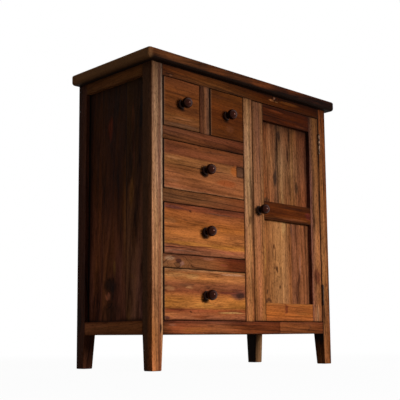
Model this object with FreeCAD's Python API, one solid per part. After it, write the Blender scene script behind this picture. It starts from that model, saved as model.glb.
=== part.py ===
import FreeCAD, Part
import math
import os

# A wooden cabinet: two small and three wide drawers beside a panelled door, on four tapered legs.
# +X is to the right, +Y to the back, +Z up. The origin is on the floor under the middle of the
# whole object, knobs and top board included. Lengths are in millimetres.

# Body, outside the posts, up to the underside of the top board
body_width = 748.0
body_depth = 328.0
body_height = 820.0

# Top board
top_thickness = 30.0
top_side_overhang = 26.0
top_front_overhang = 21.0
top_back_overhang = 5.0
top_corner_radius = 10.0
top_edge_radius = 6.0
top_under_radius = 9.0

# Posts, which run down into the legs
post_width = 38.0
post_depth = 38.0
leg_height = 94.0
leg_taper = 5.5
post_outer_radius = 2.5
post_joint_radius = 0.8
foot_chamfer = 1.5
post_tenon_height = 12.0
post_tenon_setback = 9.0

# Front frame
rail_height = 35.5
top_rail_height = 31.5
front_rail_depth = 24.0
stile_width = 38.0
divider_width = 37.0
frame_edge_radius = 0.8

# Side frames and their recessed panels
side_rail_thickness = 26.0
side_panel_recess = 11.0
side_panel_thickness = 8.0

# Back frame and panel
back_rail_thickness = 22.0
back_panel_recess = 8.0
back_panel_thickness = 6.0

# Joints in the frame
tenon_thickness = 10.0
tenon_setback = 7.0
side_tenon_setback = 8.0
tenon_wall = 2.0
tenon_shoulder = 5.0
joint_gap = 0.15
tenon_end_gap = 1.0
groove_depth = 8.0
panel_float = 1.5

# Floor, partition and shelf
floor_lip = 6.0
floor_thickness = 12.0
floor_groove_depth = 5.0
floor_float = 1.0
partition_thickness = 15.0
shelf_thickness = 15.0
shelf_setback = 10.0
shelf_housing = 5.0

# Drawer runners, their guides and stops, and the kickers over the small drawers
runner_width = 18.0
guide_height = 12.0
stop_length = 17.0
stop_gap = 0.3
rear_bar_gap = 2.0
kicker_height = 16.0

# Drawers: the heights of their openings, those of the wide ones from the bottom up. In these
# proportions the rows share all the height between the rails.
wide_row_heights = (140.0, 139.0, 135.5)
small_row_height = 138.0
drawer_gap = 1.5
drawer_front_thickness = 20.0
drawer_front_lip = 7.0
drawer_edge_radius = 1.5
drawer_side_thickness = 11.0
drawer_side_drop = 8.0
runner_gap = 0.3
drawer_back_thickness = 10.0
drawer_back_inset = 6.0
drawer_back_housing = 4.0
drawer_back_drop = 3.0
drawer_bottom_rise = 8.0
drawer_bottom_thickness = 6.0
drawer_bottom_bite = 5.0
drawer_bottom_float = 0.5
tail_count = 3
tail_tip_share = 0.36
tail_root_share = 0.26

# Door
door_gap = 2.0
door_thickness = 22.0
door_stile_width = 46.0
door_top_rail_height = 50.5
door_mid_rail_height = 55.0
door_bottom_rail_height = 53.0
door_mid_rail_share = 0.503
door_knob_share = 0.4985
door_panel_recess = 13.0
door_panel_thickness = 6.0
door_tenon_thickness = 7.0
door_edge_radius = 1.0

# Turned knobs with a spigot through the wood behind
knob_length = 37.0
knob_head_radius = 15.0
knob_neck_radius = 8.8
knob_base_radius = 11.5
knob_base_height = 3.0
knob_bead = 0.7
knob_head_start = 13.0
spigot_radius = 5.0
spigot_gap = 0.1

# Butt hinges, whose knuckles stand proud of the front
hinge_length = 63.5
hinge_inset = 52.0
hinge_proud = 3.5
knuckle_radius = 3.2
knuckle_count = 5
knuckle_gap = 0.25
hinge_pin_radius = 1.5
hinge_pin_gap = 0.1
hinge_pin_cap_radius = 2.6
hinge_pin_cap_height = 1.2
leaf_thickness = 1.2
leaf_gap = 0.6
leaf_width = 21.0
leaf_clearance = 0.4

# Hinge screws
screw_count = 3
screw_head_radius = 3.0
screw_head_height = 1.6
screw_shank_radius = 1.4
screw_length = 15.0
screw_point_length = 3.0
screw_slot_width = 0.7
screw_slot_depth = 0.6
screw_gap = 0.1
screw_end_shares = (0.16, 0.5, 0.84)

# Magnetic catch under the shelf and its plate on the door
catch_length = 45.0
catch_height = 14.0
catch_depth = 18.0
catch_air_gap = 0.3
catch_edge_radius = 1.5
plate_length = 38.0
plate_height = 12.0
plate_thickness = 1.2

# How far a cutter runs past the face it leaves, and how close counts as on a face
overrun = 1.0
match_tolerance = 1e-6

# Places worked out from the sizes above
half_width = body_width / 2
front_reach = max(knob_length, top_front_overhang)
front_y = (front_reach - body_depth - top_back_overhang) / 2
back_y = front_y + body_depth
middle_y = (front_y + back_y) / 2
post_inner_x = half_width - post_width
post_back_y = front_y + post_depth
front_rail_back_y = front_y + front_rail_depth
back_rail_front_y = back_y - back_rail_thickness
back_panel_front_y = back_y - back_panel_recess - back_panel_thickness
side_rail_inner_x = half_width - side_rail_thickness
side_panel_inner_x = half_width - side_panel_recess - side_panel_thickness

opening_bottom = leg_height + rail_height
opening_top = body_height - top_rail_height
rows_room = opening_top - opening_bottom - len(wide_row_heights) * rail_height
row_stretch = rows_room / (sum(wide_row_heights) + small_row_height)
row_bottoms = [opening_bottom]
for wide_row_height in wide_row_heights:
    row_bottoms.append(row_bottoms[-1] + row_stretch * wide_row_height + rail_height)
small_row_bottom = row_bottoms[-1]
small_row_room = opening_top - small_row_bottom

bay_left_x = -post_inner_x
bay_right_x = -stile_width / 2
divider_x = (bay_left_x + bay_right_x) / 2
partition_x = partition_thickness / 2

front_tenon_length = post_width - side_tenon_setback - tenon_thickness - tenon_wall
side_tenon_length = post_depth - tenon_setback - tenon_thickness - tenon_wall
stile_tenon_length = (stile_width - tenon_wall) / 2
upright_tenon_length = (min(rail_height, top_rail_height) - tenon_wall) / 2

floor_top = opening_bottom - floor_lip
floor_bottom = floor_top - floor_thickness

door_left_x = stile_width / 2 + door_gap
door_right_x = post_inner_x - door_gap
door_bottom = opening_bottom + door_gap
door_top = opening_top - door_gap
door_back_y = front_y + door_thickness
door_mid_z = door_bottom + door_mid_rail_share * (door_top - door_bottom)
door_mid_rail_bottom = door_mid_z - door_mid_rail_height / 2
door_mid_rail_top = door_mid_z + door_mid_rail_height / 2
door_tenon_length = door_stile_width / 2 - spigot_radius - tenon_wall
door_tenon_setback = (door_thickness - door_tenon_thickness) / 2
door_knob_x = door_left_x + door_stile_width / 2
door_knob_z = door_bottom + door_knob_share * (door_top - door_bottom)

shelf_bottom = door_mid_z - shelf_thickness / 2
shelf_top = shelf_bottom + shelf_thickness
shelf_front_y = door_back_y + shelf_setback

drawer_length = body_depth - back_rail_thickness - stop_length - stop_gap
drawer_lap = drawer_front_thickness - drawer_front_lip

hinge_x = (door_right_x + post_inner_x) / 2
hinge_y = front_y - hinge_proud
leaf_mortise = (2 * leaf_thickness + leaf_gap - door_gap) / 2
hinge_bottoms = (door_bottom + hinge_inset, door_top - hinge_inset - hinge_length)


# Boxes are (x0, x1, y0, y1, z0, z1)
def block(box):
    x0, x1, y0, y1, z0, z1 = box
    return Part.makeBox(x1 - x0, y1 - y0, z1 - z0, FreeCAD.Vector(x0, y0, z0))


def grown(box, along_x, along_y, along_z):
    x0, x1, y0, y1, z0, z1 = box
    return (x0 - along_x, x1 + along_x, y0 - along_y, y1 + along_y, z0 - along_z, z1 + along_z)


# A block whose edges round one of its faces are eased
def eased(box, radius, axis, level):
    solid = block(box)
    edges = [edge for edge in solid.Edges
             if all(abs(vertex.Point[axis] - level) < match_tolerance for vertex in edge.Vertexes)]
    return solid.makeFillet(radius, edges)


def front_eased(box, radius):
    return eased(box, radius, 1, box[2])


def joined(shapes):
    return shapes[0].multiFuse(shapes[1:]).removeSplitter()


def without(shape, cutters):
    return shape.cut(cutters)


def to_right(shape):
    return shape.mirror(FreeCAD.Vector(0, 0, 0), FreeCAD.Vector(1, 0, 0))


def to_back(shape):
    return shape.mirror(FreeCAD.Vector(0, middle_y, 0), FreeCAD.Vector(0, 1, 0))


# A tenon's hole: snug across, longer at the end
def mortise_along_x(tenon):
    return block(grown(tenon, tenon_end_gap, joint_gap, joint_gap))


def mortise_along_y(tenon):
    return block(grown(tenon, joint_gap, tenon_end_gap, joint_gap))


def mortise_along_z(tenon):
    return block(grown(tenon, joint_gap, joint_gap, tenon_end_gap))


# Tenons of a rail that runs along X between two uprights
def rail_tenons(x0, x1, y0, z0, z1, left_length, right_length):
    y1 = y0 + tenon_thickness
    low = z0 + tenon_shoulder
    high = z1 - tenon_shoulder
    return [(x0 - left_length, x0, y0, y1, low, high), (x1, x1 + right_length, y0, y1, low, high)]


# Tenons of an upright that stands between two rails
def upright_tenons(x0, x1, z0, z1):
    y0 = front_y + tenon_setback
    y1 = y0 + tenon_thickness
    inner_x0 = x0 + tenon_shoulder
    inner_x1 = x1 - tenon_shoulder
    below = (inner_x0, inner_x1, y0, y1, z0 - upright_tenon_length, z0)
    above = (inner_x0, inner_x1, y0, y1, z1, z1 + upright_tenon_length)
    return [below, above]


front_tenon_y = front_y + tenon_setback
back_tenon_y = back_y - tenon_setback - tenon_thickness

top_rail_tenons = rail_tenons(-post_inner_x, post_inner_x, front_tenon_y, opening_top, body_height,
                              front_tenon_length, front_tenon_length)
bottom_rail_tenons = rail_tenons(-post_inner_x, post_inner_x, front_tenon_y, leg_height,
                                 opening_bottom, front_tenon_length, front_tenon_length)
back_top_tenons = rail_tenons(-post_inner_x, post_inner_x, back_tenon_y, opening_top, body_height,
                              front_tenon_length, front_tenon_length)
back_bottom_tenons = rail_tenons(-post_inner_x, post_inner_x, back_tenon_y, leg_height,
                                 opening_bottom, front_tenon_length, front_tenon_length)
drawer_rail_tenons = [rail_tenons(bay_left_x, bay_right_x, front_tenon_y, bottom - rail_height,
                                  bottom, front_tenon_length, stile_tenon_length)
                      for bottom in row_bottoms[1:]]
stile_tenons = upright_tenons(-stile_width / 2, stile_width / 2, opening_bottom, opening_top)
divider_tenons = upright_tenons(divider_x - divider_width / 2, divider_x + divider_width / 2,
                                small_row_bottom, opening_top)


# Tenons of the left side rails, which run along Y between the posts
def side_rail_tenons(z0, z1):
    x0 = -half_width + side_tenon_setback
    x1 = x0 + tenon_thickness
    low = z0 + tenon_shoulder
    high = z1 - tenon_shoulder
    y0 = post_back_y
    y1 = back_y - post_depth
    return [(x0, x1, y0 - side_tenon_length, y0, low, high), (x0, x1, y1, y1 + side_tenon_length, low, high)]


side_top_tenons = side_rail_tenons(opening_top, body_height)
side_bottom_tenons = side_rail_tenons(leg_height, opening_bottom)

# The grooves that hold the left side panel and the back panel
side_panel_x = -half_width + side_panel_recess
side_groove = (side_panel_x - joint_gap, side_panel_x + side_panel_thickness + joint_gap,
               post_back_y - groove_depth, back_y - post_depth + groove_depth,
               opening_bottom - groove_depth, opening_top + groove_depth)
back_groove = (-post_inner_x - groove_depth, post_inner_x + groove_depth,
               back_panel_front_y - joint_gap, back_y - back_panel_recess + joint_gap,
               opening_bottom - groove_depth, opening_top + groove_depth)

# The groove round the inside of the bottom rails that holds the floor
floor_groove = (-side_rail_inner_x - floor_groove_depth, side_rail_inner_x + floor_groove_depth,
                front_rail_back_y - floor_groove_depth, back_rail_front_y + floor_groove_depth,
                floor_bottom - joint_gap, floor_top + joint_gap)

# The shelf before it is notched round the posts
shelf_box = (partition_x - shelf_housing, side_panel_inner_x - floor_float,
             shelf_front_y, back_panel_front_y - floor_float, shelf_bottom, shelf_top)
shelf_post_housing = (post_inner_x - overrun, post_inner_x + shelf_housing + joint_gap,
                      shelf_front_y - joint_gap, back_panel_front_y,
                      shelf_bottom - joint_gap, shelf_top + joint_gap)

# The front left post's stub tenon in the top board
post_top_tenon = (-half_width + post_tenon_setback, -post_inner_x - post_tenon_setback,
                  front_y + post_tenon_setback, post_back_y - post_tenon_setback,
                  body_height, body_height + post_tenon_height)


def rounded_wire(x0, x1, y0, y1, z, radii):
    corners = [(x0, y0), (x1, y0), (x1, y1), (x0, y1)]
    directions = [(1, 0), (0, 1), (-1, 0), (0, -1)]
    starts = []
    middles = []
    ends = []
    for index, (corner_x, corner_y) in enumerate(corners):
        radius = radii[index]
        in_x, in_y = directions[index - 1]
        out_x, out_y = directions[index]
        centre_x = corner_x - in_x * radius + out_x * radius
        centre_y = corner_y - in_y * radius + out_y * radius
        reach = radius / math.sqrt(2)
        starts.append(FreeCAD.Vector(corner_x - in_x * radius, corner_y - in_y * radius, z))
        middles.append(FreeCAD.Vector(centre_x + (in_x - out_x) * reach,
                                      centre_y + (in_y - out_y) * reach, z))
        ends.append(FreeCAD.Vector(corner_x + out_x * radius, corner_y + out_y * radius, z))
    edges = []
    for index in range(len(corners)):
        edges.append(Part.Arc(starts[index], middles[index], ends[index]).toShape())
        following = (index + 1) % len(corners)
        edges.append(Part.LineSegment(ends[index], starts[following]).toShape())
    return Part.Wire(edges)


# The front left post without its joints: a tapered leg under a square post
def plain_post():
    x0 = -half_width
    y0 = front_y
    outer = post_outer_radius
    joint = post_joint_radius
    radii = (outer, joint, outer, joint)

    def section(z, inset, taper):
        return rounded_wire(x0 + inset, x0 + post_width - taper - inset,
                            y0 + inset, y0 + post_depth - taper - inset, z, radii)

    chamfer_taper = leg_taper * (1 - foot_chamfer / leg_height)
    foot = Part.makeLoft([section(0, foot_chamfer, leg_taper), section(foot_chamfer, 0, chamfer_taper)],
                         True, True)
    leg = Part.makeLoft([section(foot_chamfer, 0, chamfer_taper), section(leg_height, 0, 0)], True, True)
    above = Part.Face(section(leg_height, 0, 0)).extrude(FreeCAD.Vector(0, 0, body_height - leg_height))
    return joined([foot, leg, above, block(post_top_tenon)])


def make_posts():
    front_left = plain_post()
    front_right = to_right(front_left)
    back_left = to_back(front_left)
    back_right = to_right(back_left)
    side_cutters = [mortise_along_y(side_top_tenons[0]), mortise_along_y(side_bottom_tenons[0]),
                    block(side_groove)]
    back_side_cutters = [mortise_along_y(side_top_tenons[1]), mortise_along_y(side_bottom_tenons[1]),
                         block(side_groove)]
    rail_cutters = [mortise_along_x(tenons[0]) for tenons in drawer_rail_tenons]
    housing = block(shelf_post_housing)
    parts = {
        "post_front_left": without(front_left, side_cutters + rail_cutters + [
            mortise_along_x(top_rail_tenons[0]), mortise_along_x(bottom_rail_tenons[0])]),
        "post_front_right": without(front_right, [to_right(cutter) for cutter in side_cutters] + [
            mortise_along_x(top_rail_tenons[1]), mortise_along_x(bottom_rail_tenons[1]), housing]),
        "post_back_left": without(back_left, back_side_cutters + [
            mortise_along_x(back_top_tenons[0]), mortise_along_x(back_bottom_tenons[0]),
            block(back_groove)]),
        "post_back_right": without(back_right, [to_right(cutter) for cutter in back_side_cutters] + [
            mortise_along_x(back_top_tenons[1]), mortise_along_x(back_bottom_tenons[1]),
            block(back_groove), housing]),
    }
    parts["post_front_right"] = without(parts["post_front_right"], frame_leaf_seats())
    return parts


# Top board, rounded over all round, with blind holes for the posts' stub tenons
def make_top():
    x1 = half_width + top_side_overhang
    y0 = front_y - top_front_overhang
    y1 = back_y + top_back_overhang
    radii = (top_corner_radius,) * 4
    outline = rounded_wire(-x1, x1, y0, y1, body_height, radii)
    board = Part.Face(outline).extrude(FreeCAD.Vector(0, 0, top_thickness))
    levels = {body_height: top_under_radius, body_height + top_thickness: top_edge_radius}
    for level, radius in levels.items():
        rim = [edge for edge in board.Edges
               if all(abs(vertex.Point.z - level) < match_tolerance for vertex in edge.Vertexes)]
        board = board.makeFillet(radius, rim)
    mortise = mortise_along_z(post_top_tenon)
    return without(board, [mortise, to_right(mortise), to_back(mortise), to_right(to_back(mortise))])


def make_front_frame():
    y1 = front_rail_back_y
    stile_x = stile_width / 2
    stile_box = (-stile_x, stile_x, front_y, y1, opening_bottom, opening_top)
    stile = joined([front_eased(stile_box, frame_edge_radius)] + [block(box) for box in stile_tenons])
    divider_box = (divider_x - divider_width / 2, divider_x + divider_width / 2, front_y, y1,
                   small_row_bottom, opening_top)
    divider = joined([front_eased(divider_box, frame_edge_radius)] + [block(box) for box in divider_tenons])

    def rail(x0, x1, z0, z1, tenons, cutters):
        body = front_eased((x0, x1, front_y, y1, z0, z1), frame_edge_radius)
        return without(joined([body] + [block(box) for box in tenons]), cutters)

    floor_slot = block(floor_groove)
    parts = {
        "front_top_rail": rail(-post_inner_x, post_inner_x, opening_top, body_height, top_rail_tenons,
                               [mortise_along_z(stile_tenons[1]), mortise_along_z(divider_tenons[1])]),
        "front_bottom_rail": rail(-post_inner_x, post_inner_x, leg_height, opening_bottom,
                                  bottom_rail_tenons, [mortise_along_z(stile_tenons[0]), floor_slot]),
        "centre_stile": without(stile, [mortise_along_x(tenons[1]) for tenons in drawer_rail_tenons]),
        "small_drawer_divider": divider,
    }
    for index, bottom in enumerate(row_bottoms[1:]):
        is_top_rail = bottom == small_row_bottom
        cutters = [mortise_along_z(divider_tenons[0])] if is_top_rail else []
        name = "drawer_rail_%d" % (len(wide_row_heights) - index)
        tenons = drawer_rail_tenons[index]
        body = front_eased((bay_left_x, bay_right_x, front_y, y1, bottom - rail_height, bottom),
                           frame_edge_radius)
        solid = joined([body] + [block(box) for box in tenons])
        parts[name] = without(solid, cutters) if cutters else solid
    return parts


def make_side_frames():
    x0 = -half_width
    x1 = -side_rail_inner_x
    y0 = post_back_y
    y1 = back_y - post_depth

    def rail(z0, z1, tenons, cutters):
        body = eased((x0, x1, y0, y1, z0, z1), frame_edge_radius, 0, x0)
        return without(joined([body] + [block(box) for box in tenons]), cutters)

    depth = groove_depth - panel_float
    panel = block((side_panel_x, side_panel_x + side_panel_thickness, y0 - depth, y1 + depth,
                   opening_bottom - depth, opening_top + depth))
    lefts = {
        "side_top_rail": rail(opening_top, body_height, side_top_tenons, [block(side_groove)]),
        "side_bottom_rail": rail(leg_height, opening_bottom, side_bottom_tenons,
                                 [block(side_groove), block(floor_groove)]),
        "side_panel": panel,
    }
    parts = {}
    for name, shape in lefts.items():
        parts[name + "_left"] = shape
        parts[name + "_right"] = to_right(shape)
    return parts


def make_back():
    x1 = post_inner_x

    def rail(z0, z1, tenons, cutters):
        body = eased((-x1, x1, back_rail_front_y, back_y, z0, z1), frame_edge_radius, 1, back_y)
        return without(joined([body] + [block(box) for box in tenons]), cutters)

    depth = groove_depth - panel_float
    groove = block(back_groove)
    return {
        "back_top_rail": rail(opening_top, body_height, back_top_tenons, [groove]),
        "back_bottom_rail": rail(leg_height, opening_bottom, back_bottom_tenons,
                                 [groove, block(floor_groove)]),
        "back_panel": block((-x1 - depth, x1 + depth, back_panel_front_y, back_y - back_panel_recess,
                             opening_bottom - depth, opening_top + depth)),
    }


# The posts' square outlines, with room round them, that the floor is notched round
def post_notches(z0, z1):
    front_left = block((-half_width - overrun, -post_inner_x + joint_gap,
                        front_y - overrun, post_back_y + joint_gap, z0 - overrun, z1 + overrun))
    back_left = to_back(front_left)
    return [front_left, back_left, to_right(front_left), to_right(back_left)]


def make_floor():
    bite = floor_groove_depth - floor_float
    board = block((-side_rail_inner_x - bite, side_rail_inner_x + bite, front_rail_back_y - bite,
                   back_rail_front_y + bite, floor_bottom, floor_top))
    return without(board, post_notches(floor_bottom, floor_top))


# The upright board between the drawers and the cupboard, notched round the back rails
def make_partition():
    board = block((-partition_x, partition_x, front_rail_back_y, back_panel_front_y - joint_gap,
                   floor_top, body_height))
    upper_rail = (-partition_thickness, partition_thickness, back_rail_front_y, back_y,
                  opening_top - joint_gap, body_height + overrun)
    lower_rail = (-partition_thickness, partition_thickness, back_rail_front_y, back_y,
                  floor_top - overrun, opening_bottom + joint_gap)
    return without(board, [block(upper_rail), block(lower_rail),
                           block(grown(shelf_box, joint_gap, joint_gap, joint_gap))])


# The shelf is housed in the partition and in the two right posts
def make_shelf():
    front_notch = block((post_inner_x + shelf_housing, half_width, front_y, post_back_y + joint_gap,
                         shelf_bottom - overrun, shelf_top + overrun))
    return without(block(shelf_box), [front_notch, to_back(front_notch)])


# Strips from the front rail to the back rail: z0 to z1, with a guide and stop on top of a runner
def left_strip(z0, z1, guide):
    inner_x = -post_inner_x + runner_width
    pieces = [block((-post_inner_x, inner_x, front_rail_back_y, back_rail_front_y, z0, z1)),
              block((-side_rail_inner_x, -post_inner_x, post_back_y, back_y - post_depth, z0, z1 + guide))]
    if guide:
        pieces.append(block((-post_inner_x, inner_x, back_rail_front_y - stop_length,
                             back_rail_front_y, z1, z1 + guide)))
    return joined(pieces)


def right_strip(z0, z1, guide):
    inner_x = bay_right_x - runner_width
    pieces = [block((inner_x, -partition_x, front_rail_back_y, back_rail_front_y, z0, z1))]
    if guide:
        pieces.append(block((bay_right_x, -partition_x, front_rail_back_y, back_rail_front_y, z1, z1 + guide)))
        pieces.append(block((inner_x, bay_right_x, back_rail_front_y - stop_length,
                             back_rail_front_y, z1, z1 + guide)))
    return joined(pieces)


def middle_strip(z0, z1, guide):
    half_divider = divider_width / 2
    reach = half_divider + runner_width
    pieces = [block((divider_x - reach, divider_x + reach, front_rail_back_y, back_rail_front_y, z0, z1))]
    if guide:
        pieces.append(block((divider_x - half_divider, divider_x + half_divider,
                             front_rail_back_y, back_rail_front_y, z1, z1 + guide)))
        pieces.append(block((divider_x - reach, divider_x + reach, back_rail_front_y - stop_length,
                             back_rail_front_y, z1, z1 + guide)))
    return joined(pieces)


# A runner on each side of every row carries its drawers and keeps the drawer below from tipping.
# The small drawers share a middle runner, which a bar carries at the back, and have kickers above.
def make_runners():
    solids = []
    for bottom in row_bottoms:
        low = max(bottom - rail_height, floor_top)
        solids.append(left_strip(low, bottom, guide_height))
        solids.append(right_strip(low, bottom, guide_height))
    solids.append(middle_strip(small_row_bottom - rail_height, small_row_bottom, guide_height))
    kicker_top = opening_top + kicker_height
    for strip in (left_strip, right_strip, middle_strip):
        solids.append(strip(opening_top, kicker_top, 0))
    rear_bar_y = back_rail_front_y - stop_length + rear_bar_gap
    solids.append(block((-post_inner_x, -partition_x, rear_bar_y, back_rail_front_y,
                         small_row_bottom - 2 * rail_height, small_row_bottom - rail_height)))
    return Part.makeCompound(solids)


# One dovetail along a drawer side's front end, or its socket when grown by a gap
def tail(x0, x1, middle_z, pitch, gap):
    root_y = front_y + drawer_front_thickness + gap
    tip_y = front_y + drawer_front_lip - gap
    root = pitch * tail_root_share + gap
    tip = pitch * tail_tip_share + gap
    outline = [FreeCAD.Vector(x0, root_y, middle_z - root), FreeCAD.Vector(x0, tip_y, middle_z - tip),
               FreeCAD.Vector(x0, tip_y, middle_z + tip), FreeCAD.Vector(x0, root_y, middle_z + root)]
    face = Part.Face(Part.makePolygon(outline + outline[:1]))
    return face.extrude(FreeCAD.Vector(x1 - x0, 0, 0))


# A turned knob, its axis along Y, that stands on the front face, with a spigot into the wood
def make_knob(x, z, spigot_length):
    def point(radius, reach):
        return FreeCAD.Vector(x + radius, front_y - reach, z)

    head_centre = knob_length - knob_head_radius
    diagonal = knob_head_radius / math.sqrt(2)
    rise = head_centre - knob_head_start
    shrink = knob_head_radius - knob_base_radius
    under_radius = (rise * rise + shrink * shrink) / (2 * shrink)
    under_centre = knob_head_radius - under_radius
    half_turn = math.asin(rise / under_radius) / 2
    under_middle = point(under_centre + under_radius * math.cos(half_turn),
                         head_centre - under_radius * math.sin(half_turn))
    cove_reach = (knob_base_height + knob_head_start) / 2
    edges = [
        Part.LineSegment(point(0, -spigot_length), point(spigot_radius, -spigot_length)),
        Part.LineSegment(point(spigot_radius, -spigot_length), point(spigot_radius, 0)),
        Part.LineSegment(point(spigot_radius, 0), point(knob_base_radius, 0)),
        Part.Arc(point(knob_base_radius, 0), point(knob_base_radius + knob_bead, knob_base_height / 2),
                 point(knob_base_radius, knob_base_height)),
        Part.Arc(point(knob_base_radius, knob_base_height), point(knob_neck_radius, cove_reach),
                 point(knob_base_radius, knob_head_start)),
        Part.Arc(point(knob_base_radius, knob_head_start), under_middle,
                 point(knob_head_radius, head_centre)),
        Part.Arc(point(knob_head_radius, head_centre), point(diagonal, head_centre + diagonal),
                 point(0, knob_length)),
        Part.LineSegment(point(0, knob_length), point(0, -spigot_length)),
    ]
    face = Part.Face(Part.Wire([edge.toShape() for edge in edges]))
    return face.revolve(FreeCAD.Vector(x, 0, z), FreeCAD.Vector(0, 1, 0), 360)


def knob_hole(x, z, depth):
    start = FreeCAD.Vector(x, front_y - overrun, z)
    return Part.makeCylinder(spigot_radius + spigot_gap, depth + 2 * overrun, start, FreeCAD.Vector(0, 1, 0))


# A drawer in the opening from x0 to x1 that starts at height z0
def make_drawer(name, x0, x1, z0, height):
    left = x0 + drawer_gap
    right = x1 - drawer_gap
    middle_x = (left + right) / 2
    middle_z = z0 + height / 2
    front_back_y = front_y + drawer_front_thickness
    rear_y = front_y + drawer_length
    side_bottom = z0 + runner_gap
    side_top = z0 + height - drawer_gap - drawer_side_drop
    inner_left = left + drawer_side_thickness
    inner_right = right - drawer_side_thickness
    pitch = (side_top - side_bottom) / tail_count
    tail_middles = [side_bottom + (index + 0.5) * pitch for index in range(tail_count)]

    bottom_bite = drawer_bottom_bite - drawer_bottom_float
    bottom_low = side_bottom + drawer_bottom_rise
    bottom_high = bottom_low + drawer_bottom_thickness
    back_rear_y = rear_y - drawer_back_inset
    bottom_box = (inner_left - bottom_bite, inner_right + bottom_bite, front_back_y - bottom_bite,
                  back_rear_y, bottom_low, bottom_high)
    bottom_slot = block((inner_left - drawer_bottom_bite, inner_right + drawer_bottom_bite,
                         front_back_y - drawer_bottom_bite, rear_y + overrun,
                         bottom_low - joint_gap, bottom_high + joint_gap))
    back_box = (inner_left - drawer_back_housing, inner_right + drawer_back_housing,
                back_rear_y - drawer_back_thickness, back_rear_y, bottom_high, side_top - drawer_back_drop)
    back_slot = block(grown(back_box, joint_gap, joint_gap, 0))

    def side(outer_x, inner_x):
        low_x = min(outer_x, inner_x)
        high_x = max(outer_x, inner_x)
        board = block((low_x, high_x, front_back_y, rear_y, side_bottom, side_top))
        tails = [tail(low_x, high_x, middle, pitch, 0) for middle in tail_middles]
        return without(joined([board] + tails), [bottom_slot, back_slot])

    front = front_eased((left, right, front_y, front_back_y, z0 + drawer_gap, z0 + height - drawer_gap),
                        drawer_edge_radius)
    sockets = []
    for middle in tail_middles:
        sockets.append(tail(left - overrun, inner_left + joint_gap, middle, pitch, joint_gap))
        sockets.append(tail(inner_right - joint_gap, right + overrun, middle, pitch, joint_gap))
    front = without(front, sockets + [bottom_slot, knob_hole(middle_x, middle_z, drawer_front_thickness)])
    box = Part.makeCompound([side(left, inner_left), side(right, inner_right), block(back_box)])
    return {
        name + "_front": front,
        name + "_box": box,
        name + "_bottom": block(bottom_box),
        name + "_knob": make_knob(middle_x, middle_z, drawer_front_thickness),
    }


def make_drawers():
    parts = {}
    parts.update(make_drawer("small_drawer_left", bay_left_x, divider_x - divider_width / 2,
                             small_row_bottom, small_row_room))
    parts.update(make_drawer("small_drawer_right", divider_x + divider_width / 2, bay_right_x,
                             small_row_bottom, small_row_room))
    for index, height in enumerate(wide_row_heights):
        name = "wide_drawer_%d" % (len(wide_row_heights) - index)
        parts.update(make_drawer(name, bay_left_x, bay_right_x, row_bottoms[index], row_stretch * height))
    return parts


def door_panel_groove(z0, z1):
    panel_y = front_y + door_panel_recess
    return (door_left_x + door_stile_width - groove_depth, door_right_x - door_stile_width + groove_depth,
            panel_y - joint_gap, panel_y + door_panel_thickness + joint_gap,
            z0 - groove_depth, z1 + groove_depth)


def make_door():
    rail_x0 = door_left_x + door_stile_width
    rail_x1 = door_right_x - door_stile_width
    rails = {
        "door_top_rail": (door_top - door_top_rail_height, door_top),
        "door_mid_rail": (door_mid_rail_bottom, door_mid_rail_top),
        "door_bottom_rail": (door_bottom, door_bottom + door_bottom_rail_height),
    }
    upper = door_panel_groove(door_mid_rail_top, door_top - door_top_rail_height)
    lower = door_panel_groove(door_bottom + door_bottom_rail_height, door_mid_rail_bottom)
    grooves = [block(upper), block(lower)]
    tenon_y0 = front_y + door_tenon_setback
    tenon_y1 = tenon_y0 + door_tenon_thickness
    parts = {}
    left_mortises = []
    right_mortises = []
    for name, (z0, z1) in rails.items():
        low = z0 + tenon_shoulder
        high = z1 - tenon_shoulder
        left_tenon = (rail_x0 - door_tenon_length, rail_x0, tenon_y0, tenon_y1, low, high)
        right_tenon = (rail_x1, rail_x1 + door_tenon_length, tenon_y0, tenon_y1, low, high)
        left_mortises.append(mortise_along_x(left_tenon))
        right_mortises.append(mortise_along_x(right_tenon))
        body = front_eased((rail_x0, rail_x1, front_y, door_back_y, z0, z1), door_edge_radius)
        parts[name] = without(joined([body, block(left_tenon), block(right_tenon)]), grooves)
    left = front_eased((door_left_x, rail_x0, front_y, door_back_y, door_bottom, door_top), door_edge_radius)
    right = front_eased((rail_x1, door_right_x, front_y, door_back_y, door_bottom, door_top),
                        door_edge_radius)
    hole = knob_hole(door_knob_x, door_knob_z, door_thickness)
    parts["door_stile_left"] = without(left, grooves + left_mortises + [hole])
    parts["door_stile_right"] = without(right, grooves + right_mortises + door_leaf_seats())
    for name, groove in (("door_upper_panel", upper), ("door_lower_panel", lower)):
        x0, x1, y0, y1, z0, z1 = groove
        parts[name] = block((x0 + panel_float, x1 - panel_float, y0 + joint_gap, y1 - joint_gap,
                             z0 + panel_float, z1 - panel_float))
    parts["door_knob"] = make_knob(door_knob_x, door_knob_z, door_thickness)
    return parts


# A countersunk screw along +X with its head's face at the origin, or its hole when grown by a gap
def screw(gap):
    head = Part.makeCone(screw_head_radius + gap, screw_shank_radius + gap, screw_head_height,
                         FreeCAD.Vector(0, 0, 0), FreeCAD.Vector(1, 0, 0))
    shank_length = screw_length - screw_head_height - screw_point_length
    shank = Part.makeCylinder(screw_shank_radius + gap, shank_length + gap,
                              FreeCAD.Vector(screw_head_height, 0, 0), FreeCAD.Vector(1, 0, 0))
    point = Part.makeCone(screw_shank_radius + gap, 0, screw_point_length,
                          FreeCAD.Vector(screw_head_height + shank_length + gap, 0, 0),
                          FreeCAD.Vector(1, 0, 0))
    solid = joined([head, shank, point])
    if gap:
        return solid
    slot = block((-overrun, screw_slot_depth, -screw_head_radius - overrun, screw_head_radius + overrun,
                  -screw_slot_width / 2, screw_slot_width / 2))
    return without(solid, [slot])


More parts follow.
